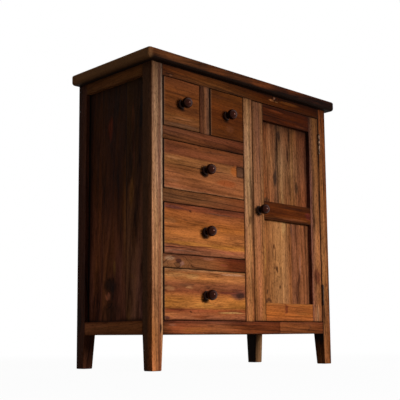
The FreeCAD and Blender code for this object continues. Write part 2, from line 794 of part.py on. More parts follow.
# The hinge screws' places on one leaf
def screw_places(z0):
    y = hinge_y + (hinge_proud + leaf_width) / 2
    return [(y, z0 + share * hinge_length) for share in screw_end_shares]


def frame_screws(z0, gap):
    solids = []
    for y, z in screw_places(z0):
        solid = screw(gap)
        solid.translate(FreeCAD.Vector(hinge_x + leaf_gap / 2, y, z))
        solids.append(solid)
    return solids


def door_screws(z0, gap):
    mirrored = [solid.mirror(FreeCAD.Vector(hinge_x, 0, 0), FreeCAD.Vector(1, 0, 0))
                for solid in frame_screws(z0, gap)]
    return mirrored


# The shallow seats that the leaves lie in, with their screw holes
def leaf_seat(x0, x1, z0):
    return block((x0, x1, front_y - overrun, hinge_y + leaf_width + joint_gap,
                  z0 - joint_gap, z0 + hinge_length + joint_gap))


def frame_leaf_seats():
    cutters = []
    for z0 in hinge_bottoms:
        cutters.append(leaf_seat(post_inner_x - overrun, post_inner_x + leaf_mortise, z0))
        cutters.extend(frame_screws(z0, screw_gap))
    return cutters


def door_leaf_seats():
    cutters = []
    for z0 in hinge_bottoms:
        cutters.append(leaf_seat(door_right_x - leaf_mortise, door_right_x + overrun, z0))
        cutters.extend(door_screws(z0, screw_gap))
    return cutters


# A frame leaf has the odd knuckles and a door leaf the even ones
def hinge_leaf(z0, own_knuckles, side):
    face_x = hinge_x + side * leaf_gap / 2
    back_x = face_x + side * leaf_thickness
    x0 = min(face_x, back_x)
    x1 = max(face_x, back_x)
    plate_y = hinge_y + knuckle_radius + leaf_clearance
    tab_y = hinge_y + (knuckle_radius + hinge_pin_radius + hinge_pin_gap) / 2
    step = hinge_length / knuckle_count
    pieces = [block((x0, x1, plate_y, hinge_y + leaf_width, z0, z0 + hinge_length))]
    for index in own_knuckles:
        low = z0 + index * step + (knuckle_gap / 2 if index else 0)
        high = z0 + (index + 1) * step - (knuckle_gap / 2 if index < knuckle_count - 1 else 0)
        pieces.append(Part.makeCylinder(knuckle_radius, high - low, FreeCAD.Vector(hinge_x, hinge_y, low)))
        pieces.append(block((x0, x1, tab_y, plate_y, low, high)))
    bore = Part.makeCylinder(hinge_pin_radius + hinge_pin_gap, hinge_length + 2 * overrun,
                             FreeCAD.Vector(hinge_x, hinge_y, z0 - overrun))
    holes = frame_screws(z0, screw_gap) if side > 0 else door_screws(z0, screw_gap)
    return without(joined(pieces), [bore] + holes)


def hinge_pin(z0):
    pin = Part.makeCylinder(hinge_pin_radius, hinge_length, FreeCAD.Vector(hinge_x, hinge_y, z0))
    low_cap = Part.makeCylinder(hinge_pin_cap_radius, hinge_pin_cap_height,
                                FreeCAD.Vector(hinge_x, hinge_y, z0 - hinge_pin_cap_height))
    high_cap = Part.makeCylinder(hinge_pin_cap_radius, hinge_pin_cap_height,
                                 FreeCAD.Vector(hinge_x, hinge_y, z0 + hinge_length))
    return joined([pin, low_cap, high_cap])


def make_hinges():
    frame_knuckles = range(0, knuckle_count, 2)
    door_knuckles = range(1, knuckle_count, 2)
    frame_screw_solids = [solid for z0 in hinge_bottoms for solid in frame_screws(z0, 0)]
    door_screw_solids = [solid for z0 in hinge_bottoms for solid in door_screws(z0, 0)]
    return {
        "hinge_frame_leaves": Part.makeCompound([hinge_leaf(z0, frame_knuckles, 1) for z0 in hinge_bottoms]),
        "hinge_door_leaves": Part.makeCompound([hinge_leaf(z0, door_knuckles, -1) for z0 in hinge_bottoms]),
        "hinge_pins": Part.makeCompound([hinge_pin(z0) for z0 in hinge_bottoms]),
        "hinge_frame_screws": Part.makeCompound(frame_screw_solids),
        "hinge_door_screws": Part.makeCompound(door_screw_solids),
    }


def make_catch():
    middle_x = door_left_x + door_stile_width
    plate_y = door_back_y + plate_thickness
    catch_y = max(plate_y + catch_air_gap, shelf_front_y)
    catch_box = (middle_x - catch_length / 2, middle_x + catch_length / 2, plate_y + catch_air_gap,
                 catch_y + catch_depth, shelf_bottom - catch_height, shelf_bottom)
    plate_z = shelf_bottom - catch_height / 2
    plate = block((middle_x - plate_length / 2, middle_x + plate_length / 2, door_back_y, plate_y,
                   plate_z - plate_height / 2, plate_z + plate_height / 2))
    return {
        "door_catch": eased(catch_box, catch_edge_radius, 2, shelf_bottom - catch_height),
        "catch_plate": plate,
    }


parts = {"top_board": make_top()}
parts.update(make_posts())
parts.update(make_front_frame())
parts.update(make_side_frames())
parts.update(make_back())
parts["floor_board"] = make_floor()
parts["partition"] = make_partition()
parts["shelf"] = make_shelf()
parts["drawer_runners"] = make_runners()
parts.update(make_drawers())
parts.update(make_door())
parts.update(make_hinges())
parts.update(make_catch())

os.makedirs("parts", exist_ok=True)
for name, shape in parts.items():
    shape.exportStep("parts/%s.step" % name)
print(len(parts), "nodes")
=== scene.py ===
import math

import bmesh
import bpy
from mathutils import Matrix, Vector


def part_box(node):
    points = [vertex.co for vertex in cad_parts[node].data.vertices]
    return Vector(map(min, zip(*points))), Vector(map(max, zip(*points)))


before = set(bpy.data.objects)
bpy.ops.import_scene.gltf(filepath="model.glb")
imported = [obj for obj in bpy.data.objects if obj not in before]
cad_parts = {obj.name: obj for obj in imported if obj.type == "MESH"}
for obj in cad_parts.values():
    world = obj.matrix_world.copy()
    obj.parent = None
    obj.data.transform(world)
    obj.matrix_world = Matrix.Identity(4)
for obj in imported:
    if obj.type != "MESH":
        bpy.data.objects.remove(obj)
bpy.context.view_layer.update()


# The camera
# The picture is taken from near the floor, off the cabinet's left front corner,
# through a long lens, so that its uprights stay nearly upright.
camera_place_mm = (-1768.33, -1769.40, 83.32)
camera_turn_degrees = -44.046
camera_tilt_degrees = 7.322
camera_roll_degrees = -0.483
camera_lens_mm = 74.58
camera_sensor_mm = 36.0
camera_shift = 0.079  # the picture is cut from a taller one: its middle is above the lens's axis

camera_data = bpy.data.cameras.new("camera")
camera_data.lens = camera_lens_mm
camera_data.sensor_width = camera_sensor_mm
camera_data.sensor_fit = "HORIZONTAL"
camera_data.shift_y = camera_shift
camera = bpy.data.objects.new("camera", camera_data)
camera.matrix_world = (
    Matrix.Translation(Vector(camera_place_mm) / 1000)
    @ Matrix.Rotation(math.radians(camera_turn_degrees), 4, "Z")
    @ Matrix.Rotation(math.radians(90 + camera_tilt_degrees), 4, "X")
    @ Matrix.Rotation(math.radians(camera_roll_degrees), 4, "Z")
)
bpy.context.scene.collection.objects.link(camera)
bpy.context.scene.camera = camera
bpy.context.scene.view_settings.view_transform = "Standard"


# The lamps and the room
# A large soft lamp stands in front of the cabinet, a little to the right of it and
# above it, and a weaker one lights the back. The room itself gives little light,
# so that the left side is in shade, and it looks white.
lamps = (
    # name, place mm, the point it is aimed at, width and height mm, watts
    ("key_lamp", (700, -3300, 980), (0, -146, 400), (1200, 1050), 92),
    ("back_lamp", (2300, 2300, 1500), (0, 150, 450), (1500, 1500), 45),
)
room_light = 0.085
room_white = 1.0

for lamp_name, lamp_place_mm, lamp_aim_mm, lamp_size_mm, lamp_watts in lamps:
    lamp_data = bpy.data.lights.new(lamp_name, "AREA")
    lamp_data.shape = "RECTANGLE"
    lamp_data.size = lamp_size_mm[0] / 1000
    lamp_data.size_y = lamp_size_mm[1] / 1000
    lamp_data.energy = lamp_watts
    lamp = bpy.data.objects.new(lamp_name, lamp_data)
    lamp.location = Vector(lamp_place_mm) / 1000
    towards = Vector(lamp_aim_mm) - Vector(lamp_place_mm)
    lamp.rotation_euler = towards.to_track_quat("-Z", "Y").to_euler()
    bpy.context.scene.collection.objects.link(lamp)


def linear(colour_hex):
    """The linear colour of an sRGB hex value."""
    shares = [int(colour_hex[place:place + 2], 16) / 255 for place in (1, 3, 5)]
    return tuple(
        share / 12.92 if share <= 0.04045 else ((share + 0.055) / 1.055) ** 2.4
        for share in shares
    ) + (1.0,)


def add_node(tree, kind, inputs=None, stops=(), **settings):
    """Adds a node with its settings, its colour stops, and its inputs as values or links."""
    node = tree.nodes.new(kind)
    for setting, value in settings.items():
        setattr(node, setting, value)
    for number, (place, colour) in enumerate(stops):
        stops_there = node.color_ramp.elements
        stop = stops_there[number] if number < 2 else stops_there.new(place)
        stop.position = place
        stop.color = linear(colour)
    for socket, value in (inputs or {}).items():
        if isinstance(value, bpy.types.NodeSocket):
            tree.links.new(value, node.inputs[socket])
        else:
            node.inputs[socket].default_value = value
    return node


def seen_white(tree):
    """1 on the rays that look at the room or mirror it, and 0 on those that light by it."""
    ray = add_node(tree, "ShaderNodeLightPath").outputs
    mirrored = add_node(tree, "ShaderNodeMath", operation="MAXIMUM", inputs={
        0: ray["Is Glossy Ray"], 1: ray["Is Transmission Ray"]}).outputs[0]
    return add_node(tree, "ShaderNodeMath", operation="MAXIMUM", inputs={
        0: ray["Is Camera Ray"], 1: mirrored}).outputs[0]


room = bpy.data.worlds.new("white_room")
room.use_nodes = True
room.node_tree.nodes.clear()
bpy.context.scene.world = room
room_strength = add_node(room.node_tree, "ShaderNodeMapRange", inputs={
    "Value": seen_white(room.node_tree),
    "To Min": room_light, "To Max": room_white}).outputs["Result"]
room_shader = add_node(room.node_tree, "ShaderNodeBackground", inputs={
    "Color": linear("#ffffff"), "Strength": room_strength})
add_node(room.node_tree, "ShaderNodeOutputWorld", inputs={"Surface": room_shader.outputs[0]})


# The floor
# A plain pale floor, as of a photographer's paper sweep. It looks white, and keeps
# a faint shadow of the cabinet close to its feet.
floor_radius_mm = 9000
floor_corners = 96
floor_paper_colour = "#8c8a86"
floor_glow_share = 0.96
# The shadow is full within the first distance from the floor's middle, and gone past the second.
floor_shadow_reach_mm = (900, 2600)


def new_material(name):
    material = bpy.data.materials.new(name)
    material.use_nodes = True
    material.node_tree.nodes.clear()
    return material


floor_mesh = bmesh.new()
bmesh.ops.create_circle(
    floor_mesh, cap_ends=True, segments=floor_corners, radius=floor_radius_mm / 1000)
floor_data = bpy.data.meshes.new("studio_floor")
floor_mesh.to_mesh(floor_data)
floor_mesh.free()
floor = bpy.data.objects.new("studio_floor", floor_data)
bpy.context.scene.collection.objects.link(floor)

floor_material = new_material("white_paper_sweep")
paper = floor_material.node_tree
paper_place = add_node(paper, "ShaderNodeTexCoord").outputs["Object"]
paper_reach = add_node(paper, "ShaderNodeVectorMath", operation="LENGTH", inputs={
    0: paper_place}).outputs["Value"]
paper_glow = add_node(paper, "ShaderNodeMapRange", interpolation_type="SMOOTHSTEP", inputs={
    "Value": paper_reach, "From Min": floor_shadow_reach_mm[0] / 1000,
    "From Max": floor_shadow_reach_mm[1] / 1000,
    "To Min": floor_glow_share, "To Max": 1.0}).outputs["Result"]
paper_shown = seen_white(paper)
paper_glow = add_node(paper, "ShaderNodeMath", operation="MULTIPLY", inputs={
    0: paper_shown, 1: paper_glow}).outputs[0]
# A mix of colours takes its share at 0, and its two colours at 6 and 7.
paper_colour = add_node(paper, "ShaderNodeMix", data_type="RGBA", inputs={
    0: paper_shown, 6: linear(floor_paper_colour), 7: linear("#ffffff")}).outputs[2]
paper_lit = add_node(paper, "ShaderNodeBsdfDiffuse", inputs={"Color": paper_colour})
paper_white = add_node(paper, "ShaderNodeEmission", inputs={
    "Color": linear("#ffffff"), "Strength": room_white})
paper_seen = add_node(paper, "ShaderNodeMixShader", inputs={
    0: paper_glow, 1: paper_lit.outputs[0], 2: paper_white.outputs[0]})
add_node(paper, "ShaderNodeOutputMaterial", inputs={"Surface": paper_seen.outputs[0]})
floor_data.materials.append(floor_material)


# The four posts
# Square posts of old teak run from the floor to the top, and taper into legs below
# the rails. They are sawn from reclaimed timber, planed, and finished with a
# thin brown oil, so each keeps its own tone, and its open pores stay dark.
ring_spacing_mm = 17.0  # bands of several years' rings: single ones are too fine to show
ring_detail = 3.0
ring_raggedness = 0.6
ring_noise_ends = (0.28, 0.72)  # the noise that becomes the darkest and the palest ring
ring_line_spacing_mm = 9.0
ring_line_width_share = 0.14
log_step_mm = 2713  # along the log, from one material's boards to the next one's
# Each layer of the log's figure: the layer that moves it, the mm along, across and behind of its
# patches, their detail and raggedness, the noise that becomes 0 and 1, and the mm it moves others.
# Real pores are 0.3 mm wide, and real fibres less: both are as coarse as the picture shows them.
log_layers = (
    ("Wander", "Place", (560, 85, 85), 1.0, 0.5, (0.0, 1.0), 28),
    ("Ripple", "Wander", (95, 21, 21), 2.0, 0.5, (0.0, 1.0), 5),
    ("Fibres", "Ripple", (60, 3.6, 3.6), 3.0, 0.75, (0.30, 0.70), 0),
    ("Pores", "Ripple", (9, 2.4, 2.4), 1.5, 0.6, (0.50, 0.68), 0),
    ("Clouds", "Wander", (170, 30, 30), 3.0, 0.55, (0.30, 0.70), 0),
    ("Hues", "Wander", (230, 36, 36), 2.0, 0.5, (0.32, 0.68), 0),
)

teak_log = bpy.data.node_groups.new("teak_log", "ShaderNodeTree")
teak_log.interface.new_socket("Place", in_out="INPUT", socket_type="NodeSocketVector")
teak_log.interface.new_socket("Swell", in_out="INPUT", socket_type="NodeSocketFloat")
log_inputs = add_node(teak_log, "NodeGroupInput").outputs
log_places = {"Place": log_inputs["Place"]}
log_figure = {}
for layer, moved_by, patch_mm, detail, raggedness, (noise_low, noise_high), moves_mm in log_layers:
    scaled = add_node(teak_log, "ShaderNodeVectorMath", operation="MULTIPLY", inputs={
        0: log_places[moved_by], 1: [1000 / side_mm for side_mm in patch_mm]}).outputs[0]
    noise = add_node(teak_log, "ShaderNodeTexNoise", inputs={
        "Vector": scaled, "Scale": 1.0, "Detail": detail, "Roughness": raggedness}).outputs
    log_figure[layer] = add_node(teak_log, "ShaderNodeMapRange", inputs={
        "Value": noise[0], "From Min": noise_low, "From Max": noise_high}).outputs["Result"]
    if moves_mm:
        moved = add_node(teak_log, "ShaderNodeVectorMath", operation="MULTIPLY_ADD", inputs={
            0: noise["Color"], 1: (0, moves_mm / 1000, moves_mm / 1000),
            2: log_places[moved_by]})
        log_places[layer] = moved.outputs[0]
from_pith = add_node(teak_log, "ShaderNodeVectorMath", operation="MULTIPLY", inputs={
    0: log_places["Ripple"], 1: (0, 1, 1)}).outputs[0]
pith_distance = add_node(teak_log, "ShaderNodeVectorMath", operation="LENGTH", inputs={
    0: from_pith}).outputs["Value"]
swollen = add_node(teak_log, "ShaderNodeMath", operation="ADD", inputs={
    0: pith_distance, 1: log_inputs["Swell"]}).outputs[0]
ring_count = add_node(teak_log, "ShaderNodeMath", operation="MULTIPLY", inputs={
    0: swollen, 1: 1000 / ring_spacing_mm}).outputs[0]
ring_noise = add_node(teak_log, "ShaderNodeTexNoise", noise_dimensions="1D", inputs={
    "W": ring_count, "Scale": 1.0, "Detail": ring_detail, "Roughness": ring_raggedness}).outputs[0]
log_figure["Rings"] = add_node(teak_log, "ShaderNodeMapRange", inputs={
    "Value": ring_noise, "From Min": ring_noise_ends[0],
    "From Max": ring_noise_ends[1]}).outputs["Result"]
line_count = add_node(teak_log, "ShaderNodeMath", operation="MULTIPLY_ADD", inputs={
    0: swollen, 1: 1000 / ring_line_spacing_mm, 2: ring_noise}).outputs[0]
line_phase = add_node(teak_log, "ShaderNodeMath", operation="PINGPONG", inputs={
    0: line_count, 1: 0.5}).outputs[0]
line_marks = add_node(teak_log, "ShaderNodeMapRange", interpolation_type="SMOOTHSTEP", inputs={
    "Value": line_phase, "From Max": ring_line_width_share,
    "To Min": 1.0, "To Max": 0.0}).outputs["Result"]
log_figure["Lines"] = add_node(teak_log, "ShaderNodeMath", operation="MULTIPLY", inputs={
    0: line_marks, 1: log_figure["Fibres"]}).outputs[0]
for layer in log_figure:
    teak_log.interface.new_socket(layer, in_out="OUTPUT", socket_type="NodeSocketFloat")
add_node(teak_log, "NodeGroupOutput", inputs=log_figure)

# A board's tones are multiplied by these where its figure is darkest and palest, and where its
# heartwood is golden and rosy.
figure_dark = (0.10, 0.07, 0.05, 1.0)
figure_light = (1.90, 1.93, 1.95, 1.0)
figure_line_mean = 0.12  # the share of the figure that the dark lines take on average
golden_heartwood = (1.05, 1.00, 0.72, 1.0)
rosy_heartwood = (1.00, 0.96, 1.12, 1.0)
tone_wander_share = 0.35  # how far, in the board's width, the tones wander across it
pore_soil_colour = "#5a4238"
glue_line_mm = 1.2  # as coarse as the picture shows it
glue_line_colour = "#403028"
stave_places = (41.0, 0.25, 0.15)  # metres in the log, times a stave's tint, to where it is cut
# Blemishes and edges fray along the grain. A blemish is full to the first share of its half size
# and gone at the second. Rings bend round a knot for so many of its half sizes, and by so many of
# its widths. A plug's oval is squared this often to make it square.
fray_mm = (60, 15, 15)
fray_depth_mm = (36, 7, 0)
fray_detail = 2.0
blemish_shares = (0.45, 1.2)
knot_bend_reach = 5.0
knot_bend_widths = 2.2
plug_squarings = 2
edge_fade_power = 2.5
oil_gloss = 0.025  # a thin oil sinks in and hardly shines
sheen_spread = 0.08
grain_relief = 0.5
grain_depth_mm = 0.3

axes = {"x": 0, "y": 1, "z": 2}
# Dark oil and grime gather along each board's edges, and the same darkening is painted shade where the
# parts meet.
soil_and_shade_edges = tuple((edge, 9, "#24140c", 0.5) for edge in ("start", "end", "low", "high"))
seasoned_boards = []  # each material's boards are cut further along the log


def teak(name, nodes, grain, across, tones, drift=(), heart_mm=(0, 60), lean_degrees=(0, 2),
         knots=(), marks=(), plugs=(), staves=(), edges=soil_and_shade_edges, rings=0.5, lines=0.45,
         fibres=0.32, clouds=0.45, hues=0.5, pores=0.35, wander=1.0,
         roughness=0.62, tenon_mm=0):
    """Oiled teak for like boards: their grain runs along one axis, and the tones go across it.

    The tones are colours at shares of the board's width, and the drift is colours that multiply
    them at shares of its length; on some boards the drift is painted shade, darker where less
    light falls. heart_mm is how far the pith lies from the board's middle, across it and behind
    it. Knots, marks and square plugs are (along mm, across mm, length mm, width mm, colour,
    strength), and the rings bend round a knot. Staves are narrower boards glued side by side: the
    share where each starts, and its tint. Edges are (edge, width mm, colour, strength), for soil
    and wear, and for painted shade and painted light, beside the board's start or end, its low or
    high edge across it, or its near or far face behind it, on the board without its tenons.
    """
    material = new_material(name)
    tree = material.node_tree
    seasoned_boards.append(name)
    lows, highs = zip(*(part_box(node) for node in nodes))
    low = [min(corner[axis] for corner in lows) for axis in range(3)]
    high = [max(corner[axis] for corner in highs) for axis in range(3)]
    along_axis = axes[grain]
    across_axis = axes[across]
    deep_axis = 3 - along_axis - across_axis
    low[along_axis] += tenon_mm / 1000
    high[along_axis] -= tenon_mm / 1000

    solid = add_node(tree, "ShaderNodeTexCoord").outputs["Object"]
    sides = add_node(tree, "ShaderNodeSeparateXYZ", inputs={0: solid}).outputs
    board = add_node(tree, "ShaderNodeCombineXYZ", inputs={
        0: sides[along_axis], 1: sides[across_axis], 2: sides[deep_axis]}).outputs[0]
    middle = [(low[axis] + high[axis]) / 2 for axis in (along_axis, across_axis, deep_axis)]
    board_place = add_node(tree, "ShaderNodeVectorMath", operation="SUBTRACT", inputs={
        0: board, 1: middle}).outputs[0]
    along_share = add_node(tree, "ShaderNodeMapRange", clamp=False, inputs={
        "Value": sides[along_axis], "From Min": low[along_axis],
        "From Max": high[along_axis]}).outputs["Result"]
    across_share = add_node(tree, "ShaderNodeMapRange", clamp=False, inputs={
        "Value": sides[across_axis], "From Min": low[across_axis],
        "From Max": high[across_axis]}).outputs["Result"]
    layers = []
    if staves:
        glue_share = glue_line_mm / 2 / 1000 / (high[across_axis] - low[across_axis])
        stave_stops = []
        for share, tint in staves:
            if share:
                stave_stops.append((share - glue_share, glue_line_colour))
            stave_stops.append((share + glue_share if share else 0.0, tint))
        stave = add_node(tree, "ShaderNodeValToRGB", stops=stave_stops, inputs={0: across_share})
        stave.color_ramp.interpolation = "CONSTANT"
        layers.append(stave.outputs["Color"])
        board_place = add_node(tree, "ShaderNodeVectorMath", operation="MULTIPLY_ADD", inputs={
            0: stave.outputs["Color"], 1: stave_places, 2: board_place}).outputs[0]
    if drift:
        layers.append(add_node(tree, "ShaderNodeValToRGB", stops=drift, inputs={
            0: along_share}).outputs["Color"])
    dive, skew = lean_degrees
    place = add_node(tree, "ShaderNodeMapping", inputs={
        "Vector": board_place,
        "Location": (
            len(seasoned_boards) * log_step_mm / 1000, -heart_mm[0] / 1000, -heart_mm[1] / 1000),
        "Rotation": (0, math.radians(dive), math.radians(skew))}).outputs[0]

    fray_place = add_node(tree, "ShaderNodeVectorMath", operation="MULTIPLY", inputs={
        0: board, 1: [1000 / side_mm for side_mm in fray_mm]}).outputs[0]
    fray = add_node(tree, "ShaderNodeTexNoise", inputs={
        "Vector": fray_place, "Scale": 1.0, "Detail": fray_detail}).outputs["Color"]
    fray = add_node(tree, "ShaderNodeVectorMath", operation="SUBTRACT", inputs={
        0: fray, 1: (0.5, 0.5, 0.5)}).outputs[0]
    frayed = add_node(tree, "ShaderNodeVectorMath", operation="MULTIPLY_ADD", inputs={
        0: fray, 1: [depth_mm / 1000 for depth_mm in fray_depth_mm], 2: board}).outputs[0]
    swell = 0.0
    blemishes = []
    for form, spots in (("knot", knots), ("mark", marks), ("plug", plugs)):
        for along_mm, across_mm, length_mm, width_mm, spot_colour, strength in spots:
            offset = add_node(tree, "ShaderNodeVectorMath", operation="SUBTRACT", inputs={
                0: board if form == "plug" else frayed,
                1: (along_mm / 1000, across_mm / 1000, 0)}).outputs[0]
            ratio = add_node(tree, "ShaderNodeVectorMath", operation="MULTIPLY", inputs={
                0: offset, 1: (2 * 1000 / length_mm, 2 * 1000 / width_mm, 0)}).outputs[0]
            if form == "plug":
                for squaring in range(plug_squarings):
                    ratio = add_node(tree, "ShaderNodeVectorMath", operation="MULTIPLY", inputs={
                        0: ratio, 1: ratio}).outputs[0]
            distance = add_node(tree, "ShaderNodeVectorMath", operation="LENGTH", inputs={
                0: ratio}).outputs["Value"]
            reach = add_node(tree, "ShaderNodeMapRange", interpolation_type="SMOOTHERSTEP", inputs={
                "Value": distance, "From Min": blemish_shares[0], "From Max": blemish_shares[1],
                "To Min": strength, "To Max": 0.0}).outputs["Result"]
            blemishes.append((reach, spot_colour))
            if form == "knot":
                bend = add_node(tree, "ShaderNodeMapRange", interpolation_type="SMOOTHERSTEP", inputs={
                    "Value": distance, "From Min": 0.0, "From Max": knot_bend_reach,
                    "To Min": knot_bend_widths * width_mm / 1000, "To Max": 0.0}).outputs["Result"]
                swell = add_node(tree, "ShaderNodeMath", operation="ADD", inputs={
                    0: swell, 1: bend}).outputs[0]
    log = add_node(tree, "ShaderNodeGroup", node_tree=teak_log, inputs={
        "Place": place, "Swell": swell}).outputs

    centred_wander = add_node(tree, "ShaderNodeMath", operation="SUBTRACT", inputs={
        0: log["Wander"], 1: 0.5}).outputs[0]
    shifted = add_node(tree, "ShaderNodeMath", operation="MULTIPLY_ADD", inputs={
        0: centred_wander, 1: tone_wander_share * wander, 2: across_share}).outputs[0]
    colour = add_node(tree, "ShaderNodeValToRGB", stops=tones, inputs={0: shifted}).outputs["Color"]
    for layer in layers:
        colour = add_node(tree, "ShaderNodeMix", data_type="RGBA", blend_type="MULTIPLY", inputs={
            0: 1.0, 6: colour, 7: layer}).outputs[2]
    for reach, spot_colour in blemishes:
        colour = add_node(tree, "ShaderNodeMix", data_type="RGBA", inputs={
            0: reach, 6: colour, 7: linear(spot_colour)}).outputs[2]
    figure = 0.5 + lines * figure_line_mean
    for share, layer in (
        (rings, "Rings"), (fibres, "Fibres"), (clouds, "Clouds"), (-lines, "Lines"),
    ):
        weighted = add_node(tree, "ShaderNodeMath", operation="MULTIPLY_ADD", inputs={
            0: log[layer], 1: share, 2: min(0, -share / 2)}).outputs[0]
        figure = add_node(tree, "ShaderNodeMath", operation="ADD", inputs={
            0: figure, 1: weighted}).outputs[0]
    hue = add_node(tree, "ShaderNodeMapRange", inputs={
        "Value": log["Hues"], "To Min": 0.5 - hues / 2, "To Max": 0.5 + hues / 2}).outputs["Result"]
    for share, first, second in (
        (figure, figure_dark, figure_light), (hue, golden_heartwood, rosy_heartwood),
    ):
        layer = add_node(tree, "ShaderNodeMix", data_type="RGBA", inputs={
            0: share, 6: first, 7: second}).outputs[2]
        colour = add_node(tree, "ShaderNodeMix", data_type="RGBA", blend_type="MULTIPLY", inputs={
            0: 1.0, 6: colour, 7: layer}).outputs[2]

    frayed_sides = add_node(tree, "ShaderNodeSeparateXYZ", inputs={0: frayed}).outputs
    edge_lines = {
        "start": (sides[along_axis], low[along_axis], 1),
        "end": (sides[along_axis], high[along_axis], -1),
        "low": (frayed_sides[1], low[across_axis], 1),
        "high": (frayed_sides[1], high[across_axis], -1),
        "near": (frayed_sides[2], low[deep_axis], 1),
        "far": (frayed_sides[2], high[deep_axis], -1),
    }
    for edge, width_mm, edge_colour, strength in edges:
        side, line, inward = edge_lines[edge]
        near = add_node(tree, "ShaderNodeMapRange", inputs={
            "Value": side, "From Min": line, "From Max": line + inward * width_mm / 1000,
            "To Min": 1.0, "To Max": 0.0}).outputs["Result"]
        near = add_node(tree, "ShaderNodeMath", operation="POWER", inputs={
            0: near, 1: edge_fade_power}).outputs[0]
        near = add_node(tree, "ShaderNodeMath", operation="MULTIPLY", inputs={
            0: near, 1: strength}).outputs[0]
        colour = add_node(tree, "ShaderNodeMix", data_type="RGBA", inputs={
            0: near, 6: colour, 7: linear(edge_colour)}).outputs[2]
    soil = add_node(tree, "ShaderNodeMath", operation="MULTIPLY", inputs={
        0: log["Pores"], 1: pores}).outputs[0]
    colour = add_node(tree, "ShaderNodeMix", data_type="RGBA", blend_type="MULTIPLY", inputs={
        0: soil, 6: colour, 7: linear(pore_soil_colour)}).outputs[2]

    sheen = add_node(tree, "ShaderNodeMapRange", inputs={
        "Value": log["Fibres"], "To Min": roughness + sheen_spread,
        "To Max": roughness - sheen_spread}).outputs["Result"]
    grain_height = add_node(tree, "ShaderNodeMath", operation="SUBTRACT", inputs={
        0: log["Fibres"], 1: log["Pores"]}).outputs[0]
    relief = add_node(tree, "ShaderNodeBump", inputs={
        "Strength": grain_relief, "Distance": grain_depth_mm / 1000,
        "Height": grain_height}).outputs[0]
    shader = add_node(tree, "ShaderNodeBsdfPrincipled", inputs={
        "Base Color": colour, "Roughness": sheen, "Specular IOR Level": oil_gloss,
        "Normal": relief})
    add_node(tree, "ShaderNodeOutputMaterial", inputs={"Surface": shader.outputs[0]})
    for node in nodes:
        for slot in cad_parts[node].material_slots:
            slot.material = material


# This post's drift paints it darker towards its top, and its top end darker still: painted shade,
# where the light falls off and the top board shades it.
teak("pale_oiled_teak_left_post", ["post_front_left"], "z", "x",
     tones=[(0.0, "#ab6844"), (0.06, "#c0835d"), (0.5, "#ba8360"), (0.6, "#916049"),
            (0.8, "#8c563f"), (0.85, "#b88c70"), (0.94, "#b88c70"), (1.0, "#7c4d38")],
     drift=[(0.0, "#ffe4bf"), (0.12, "#fbecc7"), (0.3, "#fffff4"), (0.6, "#f0ffff"),
            (0.85, "#c9dce1"), (1.0, "#71726d")],
     marks=[(112, -345, 22, 8, "#1c100a", 0.9)],
     edges=[("end", 40, "#2c1a10", 0.6), ("high", 3, "#24140c", 0.3), ("far", 50, "#68442e", 3.0)],
     heart_mm=(90, 40), rings=0.4, fibres=0.52, clouds=0.35, pores=0.5, wander=0.06)
# This post is painted darker towards its top and at its top end, as shade under the top board, and its
# left face and the strip beside the door are painted dark as shade in the gap.
teak("oiled_teak_right_post", ["post_front_right"], "z", "x",
     tones=[(0.0, "#83542f"), (0.35, "#916037"), (0.6, "#85542f"), (1.0, "#6f4221")],
     drift=[(0.0, "#fdeef2"), (0.4, "#ffffff"), (0.8, "#d8c5b5"), (1.0, "#916f5c")],
     marks=[(575, 348, 30, 9, "#3a2014", 0.6), (249, 358, 14, 12, "#5c2c1c", 0.7),
            (610, 364, 130, 20, "#5c3422", 0.6)],
     edges=[("end", 50, "#28160c", 0.7), ("low", 6, "#140a06", 1.6)],
     heart_mm=(-90, 30), fibres=0.65, pores=0.7)
teak("oiled_teak_back_left_post", ["post_back_left"], "z", "y",
     tones=[(0.0, "#5a3424"), (0.5, "#48281c"), (0.88, "#321c14"), (1.0, "#683c28")],
     marks=[(140, 168, 90, 26, "#140c08", 0.8)],
     heart_mm=(70, 50), edges=())
# Its left face and the left edge of its front are painted near black: painted shade on the inside of
# the legs.
teak("pale_oiled_teak_back_right_post", ["post_back_right"], "z", "x",
     tones=[(0.0, "#8a6444"), (1.0, "#a07650")],
     edges=[("low", 14, "#140a06", 3.0)],
     heart_mm=(70, 50))


# The rails between the posts
# Flat rails of the same timber tie the posts together at the front, the sides
# and the back, and part the drawers. Each is a board of its own, let in
# with tenons, so its tone breaks off at the joint.
rail_tenon_mm = 18
side_rail_tenon_mm = 19
upright_tenon_mm = 14.75
teak("dark_oiled_teak_top_rail", ["front_top_rail"], "x", "z",
     tones=[(0.0, "#583215"), (0.3, "#5c3515"), (0.6, "#4f290b"), (1.0, "#3f1f08")],
     drift=[(0.0, "#f6e4ee"), (0.3, "#ffffff"), (0.6, "#ba9d4c"), (0.8, "#b69530"),
            (1.0, "#775a1a")],
     knots=[(130, 811, 14, 9, "#200e08", 0.9)],
     marks=[(-309, 796, 46, 5, "#1c0c06", 0.8), (-305, 792, 12, 6, "#80543c", 0.7),
            (112, 805, 34, 8, "#8a5630", 0.8), (122, 813, 12, 9, "#8c6048", 0.7),
            (136, 803, 16, 5, "#8a5c34", 0.7), (190, 808, 110, 12, "#643812", 0.5)],
     tenon_mm=rail_tenon_mm, heart_mm=(-50, 30))
teak("red_oiled_teak_drawer_rail_1", ["drawer_rail_1"], "x", "z",
     tones=[(0.0, "#683d1e"), (0.6, "#6c402a"), (1.0, "#683d23")],
     drift=[(0.0, "#ffffff"), (0.5, "#e8d8d0"), (1.0, "#d0b4a4")],
     tenon_mm=rail_tenon_mm, heart_mm=(90, 40))
teak("grey_oiled_teak_drawer_rail_2", ["drawer_rail_2"], "x", "z",
     tones=[(0.0, "#814d2f"), (0.5, "#7a4d2f"), (1.0, "#814f2d")],
     drift=[(0.0, "#d8dcd8"), (0.4, "#ffffff"), (1.0, "#f8d8c8")],
     tenon_mm=rail_tenon_mm, heart_mm=(-80, 30))
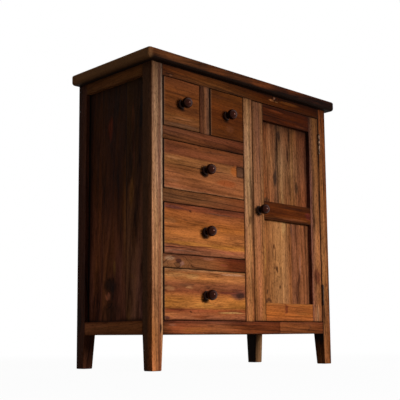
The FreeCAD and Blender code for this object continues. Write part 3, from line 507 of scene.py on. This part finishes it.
teak("knotty_oiled_teak_drawer_rail_3", ["drawer_rail_3"], "x", "z",
     tones=[(0.0, "#885936"), (0.6, "#8c5b36"), (1.0, "#7b4a30")],
     drift=[(0.0, "#ffffff"), (0.5, "#fff0e0"), (0.7, "#e8c8b8"), (0.8, "#b08474"),
            (1.0, "#a07868")],
     knots=[(-280, 288, 26, 15, "#3c1c18", 0.85)],
     marks=[(-312, 294, 40, 14, "#b48c68", 0.7), (-268, 280, 14, 18, "#a87864", 0.6),
            (-290, 298, 40, 4, "#4c2c22", 0.7), (-170, 300, 50, 8, "#a0684c", 0.6),
            (-110, 285, 40, 8, "#80402c", 0.6)],
     tenon_mm=rail_tenon_mm, heart_mm=(60, 20))
teak("red_oiled_teak_bottom_rail", ["front_bottom_rail"], "x", "z",
     tones=[(0.0, "#8e5230"), (0.6, "#935432"), (1.0, "#814832")],
     drift=[(0.0, "#b0b09f"), (0.06, "#ffe7df"), (0.3, "#feffff"), (0.45, "#e5d3c4"),
            (0.54, "#d4bead"), (0.692, "#ad9786"), (0.695, "#f8f4e2"), (0.88, "#d9d4c2"),
            (1.0, "#c2b29e")],
     marks=[(-302, 118, 30, 8, "#a4684c", 0.6), (-215, 105, 130, 14, "#94562a", 0.6),
            (-160, 116, 26, 6, "#4c2818", 0.6), (-50, 122, 80, 12, "#5c2c1c", 0.6),
            (266, 112, 12, 26, "#54301e", 0.6)],
     tenon_mm=rail_tenon_mm, heart_mm=(-70, 30))
teak("pale_oiled_teak_centre_stile", ["centre_stile"], "z", "x",
     tones=[(0.0, "#7e5238"), (0.15, "#a57655"), (0.6, "#ad815f"), (0.85, "#a17050"),
            (1.0, "#8f5d3f")],
     drift=[(0.0, "#ffdeb2"), (0.35, "#f6e8d3"), (0.6, "#f6ffff"), (0.9, "#e8e8e3"),
            (1.0, "#ada394")],
     marks=[(426, 4, 26, 14, "#50301c", 0.7)],
     tenon_mm=upright_tenon_mm, heart_mm=(60, 60), rings=0.45, fibres=0.5, pores=0.6, clouds=0.3)
teak("grey_oiled_teak_drawer_divider", ["small_drawer_divider"], "z", "x",
     tones=[(0.0, "#512c1a"), (0.40, "#51301f"), (0.44, "#6f442a"), (0.85, "#664433"),
            (0.92, "#815a40"), (1.0, "#5d3a2b")],
     tenon_mm=upright_tenon_mm, heart_mm=(50, 60), wander=0.2, fibres=0.5, pores=0.6)
teak("oiled_teak_side_rails", ["side_top_rail_left", "side_top_rail_right"], "y", "z",
     tones=[(0.0, "#9a6238"), (1.0, "#8c5632")],
     heart_mm=(60, 50), tenon_mm=side_rail_tenon_mm)
teak("oiled_teak_side_foot_rails", ["side_bottom_rail_left", "side_bottom_rail_right"], "y", "z",
     tones=[(0.0, "#a05e37"), (0.6, "#a9673f"), (1.0, "#985735")],
     heart_mm=(-60, 50), tenon_mm=side_rail_tenon_mm, rings=0.7, lines=0.6)
teak("oiled_teak_back_rails", ["back_top_rail", "back_bottom_rail"], "x", "z",
     tones=[(0.0, "#7a4a2c"), (1.0, "#70442a")],
     heart_mm=(-60, 50), tenon_mm=rail_tenon_mm)


# The panels of the sides and the back
# Thin boards are glued edge to edge and float in grooves in the posts and rails, so that
# they can swell and shrink. The joints show as straight breaks in the grain.
# This panel's drift paints it darker towards the top as painted shade, and its edges paint dark bands
# beside the back post and the rails as painted shade in its recess.
teak("shade_painted_oiled_teak_side_panel_left", ["side_panel_left"], "z", "y",
     tones=[(0.0, "#a66c55"), (0.3, "#b27754"), (0.5, "#9d604b"), (0.8, "#ae6c4b"),
            (1.0, "#8e5844")],
     drift=[(0.0, "#ffffff"), (0.35, "#dbd8d0"), (0.6, "#827e6f"), (1.0, "#464534")],
     staves=[(0.0, "#ffffff"), (0.33, "#f4ece8"), (0.726, "#fff0e8")],
     knots=[(202, 47, 22, 14, "#2c1814", 0.8)],
     marks=[(228, 40, 46, 66, "#100808", 0.85), (206, 30, 40, 12, "#1c0e0c", 0.7),
            (197, 50, 22, 26, "#f49478", 1.0), (158, 30, 60, 90, "#2c1c14", 0.6),
            (275, 22, 60, 14, "#b07840", 0.6), (668, 42, 70, 24, "#a04c38", 0.6),
            (690, 64, 110, 6, "#1c100c", 0.6), (690, 26, 110, 6, "#241410", 0.6),
            (245, -52, 14, 26, "#a46c44", 0.6), (475, -50, 90, 26, "#9c6434", 0.6),
            (672, -58, 110, 14, "#8c5438", 0.6), (590, -60, 120, 12, "#7c4634", 0.5),
            (560, 100, 300, 14, "#2c1814", 0.5)],
     edges=[("high", 34, "#080403", 3.0), ("start", 26, "#0a0504", 2.0), ("low", 8, "#140a06", 0.6),
            ("end", 12, "#0a0504", 0.8)],
     heart_mm=(30, 20), lean_degrees=(3, 1), rings=0.5, clouds=0.9, fibres=0.4, lines=0.3, hues=1.0,
     wander=1.4)
teak("dark_oiled_teak_side_panel_right", ["side_panel_right"], "z", "y",
     tones=[(0.0, "#70442a"), (0.5, "#6c4228"), (1.0, "#6c4028")],
     staves=[(0.0, "#ffffff"), (0.3, "#e8dcd4"), (0.62, "#f8f0f0")],
     heart_mm=(-30, 20), lean_degrees=(3, 1))
teak("oiled_teak_back_panel", ["back_panel"], "z", "x",
     tones=[(0.0, "#74482c"), (0.5, "#7a4a2e"), (1.0, "#6c442c")],
     staves=[(0.0, "#ffffff"), (0.14, "#e8e0d8"), (0.31, "#fff8f0"), (0.47, "#d8ccc4"),
             (0.62, "#f8f0e8"), (0.8, "#e4dcd0")],
     heart_mm=(30, 25), lean_degrees=(3, 1))


# The inside of the cabinet
# The floor, the partition and the shelf are plain boards, and the drawers run on
# rails of the same wood. All of it is planed and left bare, so it is paler and duller.
inner_staves = [(0.0, "#ffffff"), (0.24, "#f0e4d8"), (0.5, "#fff8f0"), (0.77, "#e8e0d8")]
for inner_name, inner_nodes, inner_grain, inner_across in (
    ("planed_teak_floor", ["floor_board"], "x", "y"),
    ("planed_teak_partition", ["partition"], "z", "y"),
    ("planed_teak_shelf", ["shelf"], "x", "y"),
    ("planed_teak_runners", ["drawer_runners"], "y", "x"),
):
    teak(inner_name, inner_nodes, inner_grain, inner_across,
         tones=[(0.0, "#9c7048"), (1.0, "#a47a50")],
         staves=inner_staves, rings=0.3, clouds=0.25, fibres=0.3, roughness=0.75)


# The top
# One wide board, glued up from narrower ones, oversails the body, and its edges are
# rounded over by hand. Handling has left the front edge dark.
# The underside and the lower part of its edges are painted dark as shade, and its left end is painted
# paler as light caught by the rounded edge.
teak("oiled_teak_top_board", ["top_board"], "x", "y",
     tones=[(0.0, "#522e17"), (0.034, "#522e17"), (0.05, "#8c5a34"), (0.5, "#805230"),
            (1.0, "#7c4e2e")],
     staves=[(0.0, "#ffffff"), (0.28, "#e8dcd0"), (0.52, "#fff4ec"), (0.78, "#dccfc4")],
     marks=[(-20, -166, 500, 34, "#341a0c", 0.8), (290, -166, 520, 40, "#260e05", 0.95),
            (40, -168, 120, 12, "#54280f", 0.5), (-150, -168, 90, 12, "#562c12", 0.5),
            (200, -168, 90, 12, "#44200c", 0.6)],
     edges=[("near", 14, "#160b06", 3.0), ("start", 20, "#a8744a", 0.9)],
     heart_mm=(20, 40), lean_degrees=(2, 1), wander=0.0, rings=0.6, clouds=0.7, fibres=0.5)


# The drawers
# Each has a solid teak front, and a dovetailed box and a bottom of plain wood. The fronts
# are flush in their frame. A pale line along each front's left edge is a painted reflection
# of its rounded arris, dark strips round its edges are painted shade in the gaps, and a black
# patch beneath each knob is the knob's painted shadow.
# A black patch beneath each knob is the knob's painted shadow on the wood.
painted_knob_shadow = ("#120804", 0.9)
# A pale line along the left edge is a painted reflection of the rounded arris, and the dark strips are
# painted shade in the gaps round the front.
arris_glint_and_gap_shade_edges = [("start", 12, "#a47450", 0.9), ("start", 7, "#0c0604", 5.0),
                ("end", 6, "#24140c", 0.6), ("low", 5, "#1c0e08", 0.8), ("high", 5, "#1c0e08", 0.8)]
teak("oiled_teak_small_drawer_left", ["small_drawer_left_front"], "x", "z",
     tones=[(0.0, "#603c22"), (0.08, "#693e20"), (0.2, "#6f4220"), (0.3, "#693a1b"),
            (0.7, "#693817"), (1.0, "#603317")],
     marks=[(-268, 711, 30, 26, *painted_knob_shadow), (-260, 680, 90, 9, "#805030", 0.6),
            (-265, 675, 110, 3, "#38200f", 0.7), (-265, 660, 130, 12, "#5c4030", 0.5),
            (-265, 760, 130, 3, "#40220f", 0.5), (-265, 745, 110, 3, "#40220f", 0.5)],
     edges=arris_glint_and_gap_shade_edges, heart_mm=(100, 30), rings=0.35, lines=0.25)
teak("oiled_teak_small_drawer_right", ["small_drawer_right_front"], "x", "z",
     tones=[(0.0, "#592e0d"), (0.5, "#58290b"), (1.0, "#522a0b")],
     marks=[(-120, 770, 70, 10, "#5a3016", 0.5), (-70, 660, 90, 8, "#3e1c0a", 0.6),
            (-91, 711, 30, 26, *painted_knob_shadow), (-76, 682, 40, 24, "#6c3c22", 0.6)],
     edges=arris_glint_and_gap_shade_edges, heart_mm=(-100, 30), rings=0.3, lines=0.15, fibres=0.22)
teak("oiled_teak_wide_drawer_1", ["wide_drawer_1_front"], "x", "z",
     tones=[(0.0, "#9e6b48"), (0.03, "#8e5433"), (0.3, "#905632"), (0.46, "#89522f"),
            (0.56, "#865530"), (0.68, "#8d5933"), (0.74, "#774126"), (1.0, "#713e22")],
     marks=[(-180, 538, 32, 28, *painted_knob_shadow), (-90, 520, 90, 20, "#8a4420", 0.7),
            (-195, 549, 300, 4, "#3c2014", 0.7), (-190, 562, 250, 3, "#54301e", 0.5),
            (-180, 575, 230, 3, "#4c2a18", 0.5), (-290, 526, 90, 4, "#5c3420", 0.6),
            (-290, 583, 80, 4, "#4c2818", 0.5), (-300, 566, 60, 8, "#b47c54", 0.5),
            (-140, 600, 110, 7, "#5c3624", 0.5), (-300, 505, 60, 12, "#9c6444", 0.5),
            (-215, 603, 12, 6, "#3c2014", 0.6), (-60, 560, 30, 36, "#9a5424", 0.8)],
     plugs=[(-36, 560, 33, 35, "#28120a", 0.9), (-36, 560, 26, 28, "#5c3c2a", 0.85)],
     edges=arris_glint_and_gap_shade_edges, heart_mm=(100, 30), wander=0.3, rings=0.25, lines=0.15, clouds=0.4)
teak("oiled_teak_wide_drawer_2", ["wide_drawer_2_front"], "x", "z",
     tones=[(0.0, "#9a6043"), (0.1, "#9c5e3e"), (0.15, "#9c5b39"), (0.2, "#b37434"),
            (0.3, "#b16c39"), (0.6, "#9f5c2b"), (0.85, "#8c4e27"), (0.9, "#7d4024"),
            (1.0, "#743e27")],
     marks=[(-310, 395, 50, 20, "#a86c40", 0.5), (-150, 405, 90, 12, "#8c4a22", 0.5),
            (-250, 400, 20, 5, "#5c3018", 0.6), (-280, 428, 110, 5, "#4c2a22", 0.6),
            (-60, 395, 60, 12, "#8e4e26", 0.5), (-290, 324, 110, 4, "#481e18", 0.9),
            (-200, 331, 150, 4, "#64301f", 0.8), (-180, 365, 32, 28, *painted_knob_shadow),
            (-300, 432, 80, 10, "#5c3430", 0.7), (-232, 425, 12, 8, "#3c1e14", 0.8),
            (-120, 427, 140, 5, "#6a4a38", 0.6), (-300, 332, 80, 5, "#5c3026", 0.6),
            (-265, 316, 150, 5, "#b07c60", 0.6), (-80, 320, 120, 4, "#9c5440", 0.6),
            (-260, 338, 150, 9, "#b07030", 0.7), (-90, 330, 170, 9, "#aa6a30", 0.7)],
     edges=arris_glint_and_gap_shade_edges, heart_mm=(-100, 30), wander=0.3, rings=0.25, lines=0.15, clouds=0.5,
     fibres=0.4)
teak("oiled_teak_wide_drawer_3", ["wide_drawer_3_front"], "x", "z",
     tones=[(0.0, "#915034"), (0.06, "#a1603e"), (0.15, "#9a5630"), (0.2, "#934b2a"),
            (0.25, "#b27134"), (0.38, "#b16e33"), (0.46, "#9e5f2f"), (0.55, "#8a492b"),
            (0.62, "#80492f"), (0.72, "#8a5031"), (0.82, "#ab6b39"), (0.93, "#a26339"),
            (0.98, "#bf8659"), (1.0, "#af7349")],
     marks=[(-180, 190, 34, 30, *painted_knob_shadow), (-48, 203, 80, 30, "#5c342a", 0.9),
            (-38, 201, 48, 18, "#38221c", 0.85), (-95, 208, 100, 8, "#70382a", 0.8),
            (-60, 217, 70, 6, "#5c2e22", 0.7), (-290, 251, 110, 14, "#c08452", 0.8),
            (-252, 225, 70, 9, "#70442e", 0.8), (-238, 219, 26, 8, "#b88058", 0.6),
            (-310, 214, 44, 16, "#b07850", 0.65), (-171, 222, 26, 8, "#5c3424", 0.7),
            (-70, 259, 110, 7, "#c09070", 0.7), (-230, 249, 50, 18, "#b88450", 0.7),
            (-185, 172, 80, 14, "#c0823c", 0.6), (-288, 158, 90, 4, "#7a3420", 0.7),
            (-310, 146, 60, 12, "#b06c40", 0.7), (-200, 140, 70, 9, "#86421f", 0.7),
            (-80, 152, 120, 6, "#b48a54", 0.7), (-232, 153, 10, 6, "#402010", 0.8),
            (-325, 137, 26, 9, "#3c1e22", 0.8)],
     edges=arris_glint_and_gap_shade_edges, heart_mm=(38, 20), lean_degrees=(3, 1), wander=0.4, rings=0.35, lines=0.2,
     clouds=0.5, fibres=0.5)
for drawer in (
    "small_drawer_left", "small_drawer_right", "wide_drawer_1", "wide_drawer_2", "wide_drawer_3",
):
    teak("planed_teak_" + drawer + "_box", [drawer + "_box"], "y", "z",
         tones=[(0.0, "#a87c52"), (1.0, "#b08458")],
         edges=(), roughness=0.75, heart_mm=(40, 40), rings=0.3, clouds=0.25)
    teak("planed_teak_" + drawer + "_bottom", [drawer + "_bottom"], "x", "y",
         tones=[(0.0, "#b08c60"), (1.0, "#a88258")],
         edges=(), roughness=0.75, staves=inner_staves, rings=0.3, clouds=0.25)


# The door
# A frame of stiles and tenoned rails holds two panels of upright boards in its grooves.
# The panels lie back from the frame; the wide dark bands along their top and right edges are
# painted shade from the frame, and some dirt lines their other edges. The stiles and the upper
# panel are painted darker towards the top as shade, and the patch beneath the knob is its
# painted shadow.
door_rail_tenon_mm = 16
teak("grey_oiled_teak_door_left_stile", ["door_stile_left"], "z", "x",
     tones=[(0.0, "#9b653d"), (0.5, "#a36947"), (1.0, "#a56e42")],
     drift=[(0.0, "#fff3dd"), (0.4, "#ffffff"), (0.55, "#dee4ef"), (1.0, "#a7a8b6")],
     marks=[(450, 42, 28, 28, *painted_knob_shadow)],
     heart_mm=(80, 40), rings=0.35, fibres=0.45, pores=0.6, clouds=0.3)
teak("oiled_teak_door_right_stile", ["door_stile_right"], "z", "x",
     tones=[(0.0, "#875647"), (0.3, "#8f5e3e"), (0.6, "#98633a"), (1.0, "#7f4e2e")],
     drift=[(0.0, "#fef5f2"), (0.4, "#ffffff"), (0.6, "#e1e3e3"), (1.0, "#989790")],
     marks=[(272, 313, 60, 40, "#643420", 0.9), (155, 312, 60, 14, "#b08058", 0.6)],
     heart_mm=(-80, 40), fibres=0.6, pores=0.7)
teak("dark_oiled_teak_door_top_rail", ["door_top_rail"], "x", "z",
     tones=[(0.0, "#421902"), (0.5, "#3e1802"), (1.0, "#3a1502")],
     drift=[(0.0, "#ffffff"), (0.7, "#f0e8e8"), (1.0, "#d0c0c8")],
     marks=[(120, 772, 100, 9, "#5c2a12", 0.6), (200, 754, 130, 6, "#1e0a04", 0.7),
            (110, 745, 80, 6, "#1e0a04", 0.5), (250, 744, 60, 9, "#4a2410", 0.6)],
     tenon_mm=door_rail_tenon_mm, heart_mm=(-50, 20), rings=0.6, clouds=0.6)
teak("dark_oiled_teak_door_middle_rail", ["door_mid_rail"], "x", "z",
     tones=[(0.0, "#431f06"), (0.12, "#592d0f"), (0.3, "#562608"), (1.0, "#4b2208")],
     marks=[(195, 443, 150, 7, "#6e3c22", 0.7), (275, 460, 30, 26, "#5c2420", 0.7),
            (110, 440, 60, 8, "#30180c", 0.5), (200, 478, 120, 8, "#33160a", 0.6)],
     tenon_mm=door_rail_tenon_mm, heart_mm=(50, 20), rings=0.7, clouds=0.7)
teak("golden_oiled_teak_door_bottom_rail", ["door_bottom_rail"], "x", "z",
     tones=[(0.0, "#a85e2f"), (0.3, "#ac602a"), (0.85, "#a8602f"), (1.0, "#b87540")],
     marks=[(157, 168, 18, 34, "#70301e", 0.75), (240, 155, 90, 10, "#8c5426", 0.6)],
     tenon_mm=door_rail_tenon_mm, heart_mm=(60, 30), rings=0.35, fibres=0.35, clouds=0.3)
# Its drift and the wide bands along its top and right edges are painted shade.
teak("oiled_teak_door_upper_panel", ["door_upper_panel"], "z", "x",
     tones=[(0.0, "#784627"), (0.1, "#7e4d2c"), (0.2, "#8c5d3c"), (0.3, "#81573a"),
            (0.36, "#7f5b40"), (0.44, "#8a6545"), (0.55, "#7d5536"), (0.66, "#775231"),
            (0.78, "#6c432c"), (0.88, "#6f432c"), (1.0, "#603725")],
     drift=[(0.0, "#ffe8d8"), (0.5, "#ffffff"), (0.85, "#d0c0b8"), (1.0, "#988880")],
     marks=[(650, 194, 70, 8, "#2c1208", 1.0), (612, 199, 50, 5, "#4a2412", 0.8),
            (702, 154, 44, 18, "#2c1c16", 0.8), (568, 134, 60, 18, "#2e2420", 0.8),
            (590, 138, 120, 6, "#3c2a20", 0.6), (500, 140, 60, 30, "#5c3c28", 0.6),
            (545, 166, 130, 13, "#a07650", 0.6), (506, 168, 60, 16, "#a87c54", 0.5),
            (690, 110, 90, 12, "#8c5c3c", 0.6), (548, 236, 46, 14, "#3c281a", 0.8),
            (600, 226, 200, 5, "#8c5c44", 0.6), (494, 90, 16, 44, "#3c2a1c", 0.7),
            (560, 100, 160, 5, "#4c2c18", 0.6)],
     edges=[("start", 14, "#20120c", 0.5), ("end", 34, "#140a06", 0.9), ("low", 8, "#24140c", 0.5),
            ("high", 32, "#140a06", 0.9)],
     heart_mm=(10, 60), fibres=0.65, rings=0.4, clouds=0.5, pores=0.6, wander=0.4)
# The wide band along its right edge is painted shade.
teak("golden_oiled_teak_door_lower_panel", ["door_lower_panel"], "z", "x",
     tones=[(0.0, "#88502d"), (0.1, "#8f5931"), (0.3, "#9a683e"), (0.46, "#a57349"),
            (0.52, "#99663f"), (0.58, "#935930"), (0.63, "#7b4c32"), (0.7, "#814e33"),
            (0.8, "#895333"), (1.0, "#804d30")],
     knots=[(285, 135, 30, 11, "#34180c", 0.9)],
     marks=[(356, 124, 26, 7, "#3c1a0c", 0.9), (334, 130, 50, 4, "#4c2814", 0.9),
            (330, 117, 60, 4, "#6c4426", 0.7), (300, 126, 26, 4, "#5c3018", 0.8),
            (235, 148, 12, 10, "#54301c", 0.8), (247, 79, 44, 15, "#44281a", 0.7),
            (219, 88, 20, 8, "#3c2216", 0.8), (192, 90, 16, 50, "#44281c", 0.7),
            (270, 241, 60, 7, "#44241c", 0.8), (232, 233, 50, 7, "#44241c", 0.8),
            (204, 226, 40, 7, "#44241c", 0.8), (418, 170, 60, 22, "#b08858", 0.6),
            (320, 80, 120, 10, "#b0803c", 0.6), (310, 245, 70, 8, "#946450", 0.7),
            (410, 205, 60, 10, "#5c4038", 0.6)],
     edges=[("start", 10, "#20120c", 0.5), ("end", 14, "#20120c", 0.5), ("low", 6, "#24140c", 0.3),
            ("high", 28, "#140a06", 0.9)],
     heart_mm=(-25, 15), lean_degrees=(4, 1), fibres=0.45, wander=0.15, pores=0.5, hues=0.2)


# The knobs
# Knobs of hard wood are turned on a lathe, stained nearly black and polished, so each head
# shows one small light. The front of the head is painted brown in spots as painted light, where
# the lamp falls on it, and its back and neck stay black as painted shade. The lathe's fine
# rings run round the axis.
knob_black = "#060201"
knob_lit_brown = "#40180e"
knob_polish_tint = "#d0907c"
knob_lit_front_mm = (15, 4)  # behind the front of the head: black as painted shade, and brown as painted light
knob_spots_per_metre = 120.0
knob_spot_detail = 3.0
knob_ring_mm = 0.9  # as coarse as a close view shows
knob_ring_detail = 2.0
knob_ring_relief = 0.3
knob_ring_depth_mm = 0.1
knob_roughness_ends = (0.12, 0.20)
knob_gloss = 0.24
for knob in [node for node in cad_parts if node.endswith("_knob")]:
    knob_low, knob_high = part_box(knob)
    knob_middle = [(one + other) / 2 for one, other in zip(knob_low, knob_high)]
    knob_material = new_material("ebonised_turned_wood_" + knob)
    turned = knob_material.node_tree
    turned_solid = add_node(turned, "ShaderNodeTexCoord").outputs["Object"]
    turned_place = add_node(turned, "ShaderNodeVectorMath", operation="SUBTRACT", inputs={
        0: turned_solid, 1: knob_middle}).outputs[0]
    turned_flat = add_node(turned, "ShaderNodeVectorMath", operation="MULTIPLY", inputs={
        0: turned_place, 1: (1, 0, 1)}).outputs[0]
    turned_radius = add_node(turned, "ShaderNodeVectorMath", operation="LENGTH", inputs={
        0: turned_flat}).outputs["Value"]
    turned_rings = add_node(turned, "ShaderNodeTexNoise", noise_dimensions="1D", inputs={
        "W": turned_radius, "Scale": 1000 / knob_ring_mm, "Detail": knob_ring_detail}).outputs[0]
    turned_spots = add_node(turned, "ShaderNodeTexNoise", inputs={
        "Vector": turned_place, "Scale": knob_spots_per_metre,
        "Detail": knob_spot_detail}).outputs[0]
    turned_depth = add_node(turned, "ShaderNodeSeparateXYZ", inputs={0: turned_solid}).outputs["Y"]
    lit_front = add_node(turned, "ShaderNodeMapRange", interpolation_type="SMOOTHSTEP", inputs={
        "Value": turned_depth, "From Min": knob_low[1] + knob_lit_front_mm[0] / 1000,
        "From Max": knob_low[1] + knob_lit_front_mm[1] / 1000}).outputs["Result"]
    lit_share = add_node(turned, "ShaderNodeMath", operation="MULTIPLY", inputs={
        0: lit_front, 1: turned_spots}).outputs[0]
    turned_colour = add_node(turned, "ShaderNodeMix", data_type="RGBA", inputs={
        0: lit_share, 6: linear(knob_black), 7: linear(knob_lit_brown)}).outputs[2]
    turned_sheen = add_node(turned, "ShaderNodeMapRange", inputs={
        "Value": turned_spots, "To Min": knob_roughness_ends[0],
        "To Max": knob_roughness_ends[1]}).outputs["Result"]
    turned_relief = add_node(turned, "ShaderNodeBump", inputs={
        "Strength": knob_ring_relief, "Distance": knob_ring_depth_mm / 1000,
        "Height": turned_rings}).outputs[0]
    turned_shader = add_node(turned, "ShaderNodeBsdfPrincipled", inputs={
        "Base Color": turned_colour, "Roughness": turned_sheen, "Specular IOR Level": knob_gloss,
        "Specular Tint": linear(knob_polish_tint), "Normal": turned_relief})
    add_node(turned, "ShaderNodeOutputMaterial", inputs={"Surface": turned_shader.outputs[0]})
    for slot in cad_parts[knob].material_slots:
        slot.material = knob_material


# The hinges and the catch
# Butt hinges of rolled steel hang the door. They are brown with old oil, and rubbed bright in
# patches. The patches are painted brighter towards the top as a painted glint, where the upper
# hinge catches the light and the lower lies in shade. The screws are as dark, and a plastic
# catch keeps the door shut.
glint_heights_mm = (300, 600)
glint_strengths = (0.1, 1.0)  # of the bright patches, at those heights
rubbed_detail = 4.0
rubbed_raggedness = 0.65
rubbed_noise_ends = (0.42, 0.58)  # the noise that becomes all dull, and all bright
finish_spread = 0.12
finish_relief = 0.3
finish_depth_mm = 0.1
fitting_finishes = (
    # name, nodes, dull and bright colour, metallic, roughness, mm of a patch, share of bright
    ("tarnished_steel_hinges", ("hinge_frame_leaves", "hinge_door_leaves", "hinge_pins"),
     "#241812", "#745844", 1.0, 0.45, 9, 0.7),
    ("dark_steel_screws", ("hinge_frame_screws", "hinge_door_screws"),
     "#2a221e", "#80786e", 1.0, 0.45, 3, 0.5),
    ("zinc_plated_steel_plate", ("catch_plate",), "#8c8880", "#c8c4bc", 1.0, 0.35, 6, 0.6),
    ("brown_moulded_plastic_catch", ("door_catch",), "#2c1a10", "#3c2616", 0.0, 0.4, 2, 0.5),
)
for finish, fittings, dull, bright, metallic, roughness, rubbed_mm, bright_share in fitting_finishes:
    fitting_material = new_material(finish)
    metal = fitting_material.node_tree
    metal_place = add_node(metal, "ShaderNodeTexCoord").outputs["Object"]
    patches = add_node(metal, "ShaderNodeTexNoise", inputs={
        "Vector": metal_place, "Scale": 1000 / rubbed_mm, "Detail": rubbed_detail,
        "Roughness": rubbed_raggedness}).outputs[0]
    metal_height = add_node(metal, "ShaderNodeSeparateXYZ", inputs={0: metal_place}).outputs["Z"]
    glint_height = add_node(metal, "ShaderNodeMapRange", inputs={
        "Value": metal_height,
        "From Min": glint_heights_mm[0] / 1000, "From Max": glint_heights_mm[1] / 1000,
        "To Min": glint_strengths[0], "To Max": glint_strengths[1]}).outputs["Result"]
    bright_patches = add_node(metal, "ShaderNodeMapRange", interpolation_type="SMOOTHSTEP", inputs={
        "Value": patches, "From Min": rubbed_noise_ends[0], "From Max": rubbed_noise_ends[1],
        "To Max": bright_share}).outputs["Result"]
    rubbed_and_glint_patches = add_node(metal, "ShaderNodeMath", operation="MULTIPLY", inputs={
        0: glint_height, 1: bright_patches}).outputs[0]
    metal_colour = add_node(metal, "ShaderNodeMix", data_type="RGBA", inputs={
        0: rubbed_and_glint_patches, 6: linear(dull), 7: linear(bright)}).outputs[2]
    metal_sheen = add_node(metal, "ShaderNodeMapRange", inputs={
        "Value": patches, "To Min": roughness + finish_spread,
        "To Max": roughness - finish_spread}).outputs["Result"]
    metal_relief = add_node(metal, "ShaderNodeBump", inputs={
        "Strength": finish_relief, "Distance": finish_depth_mm / 1000,
        "Height": patches}).outputs[0]
    metal_shader = add_node(metal, "ShaderNodeBsdfPrincipled", inputs={
        "Base Color": metal_colour, "Metallic": metallic, "Roughness": metal_sheen,
        "Normal": metal_relief})
    add_node(metal, "ShaderNodeOutputMaterial", inputs={"Surface": metal_shader.outputs[0]})
    for fitting in fittings:
        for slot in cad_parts[fitting].material_slots:
            slot.material = fitting_material
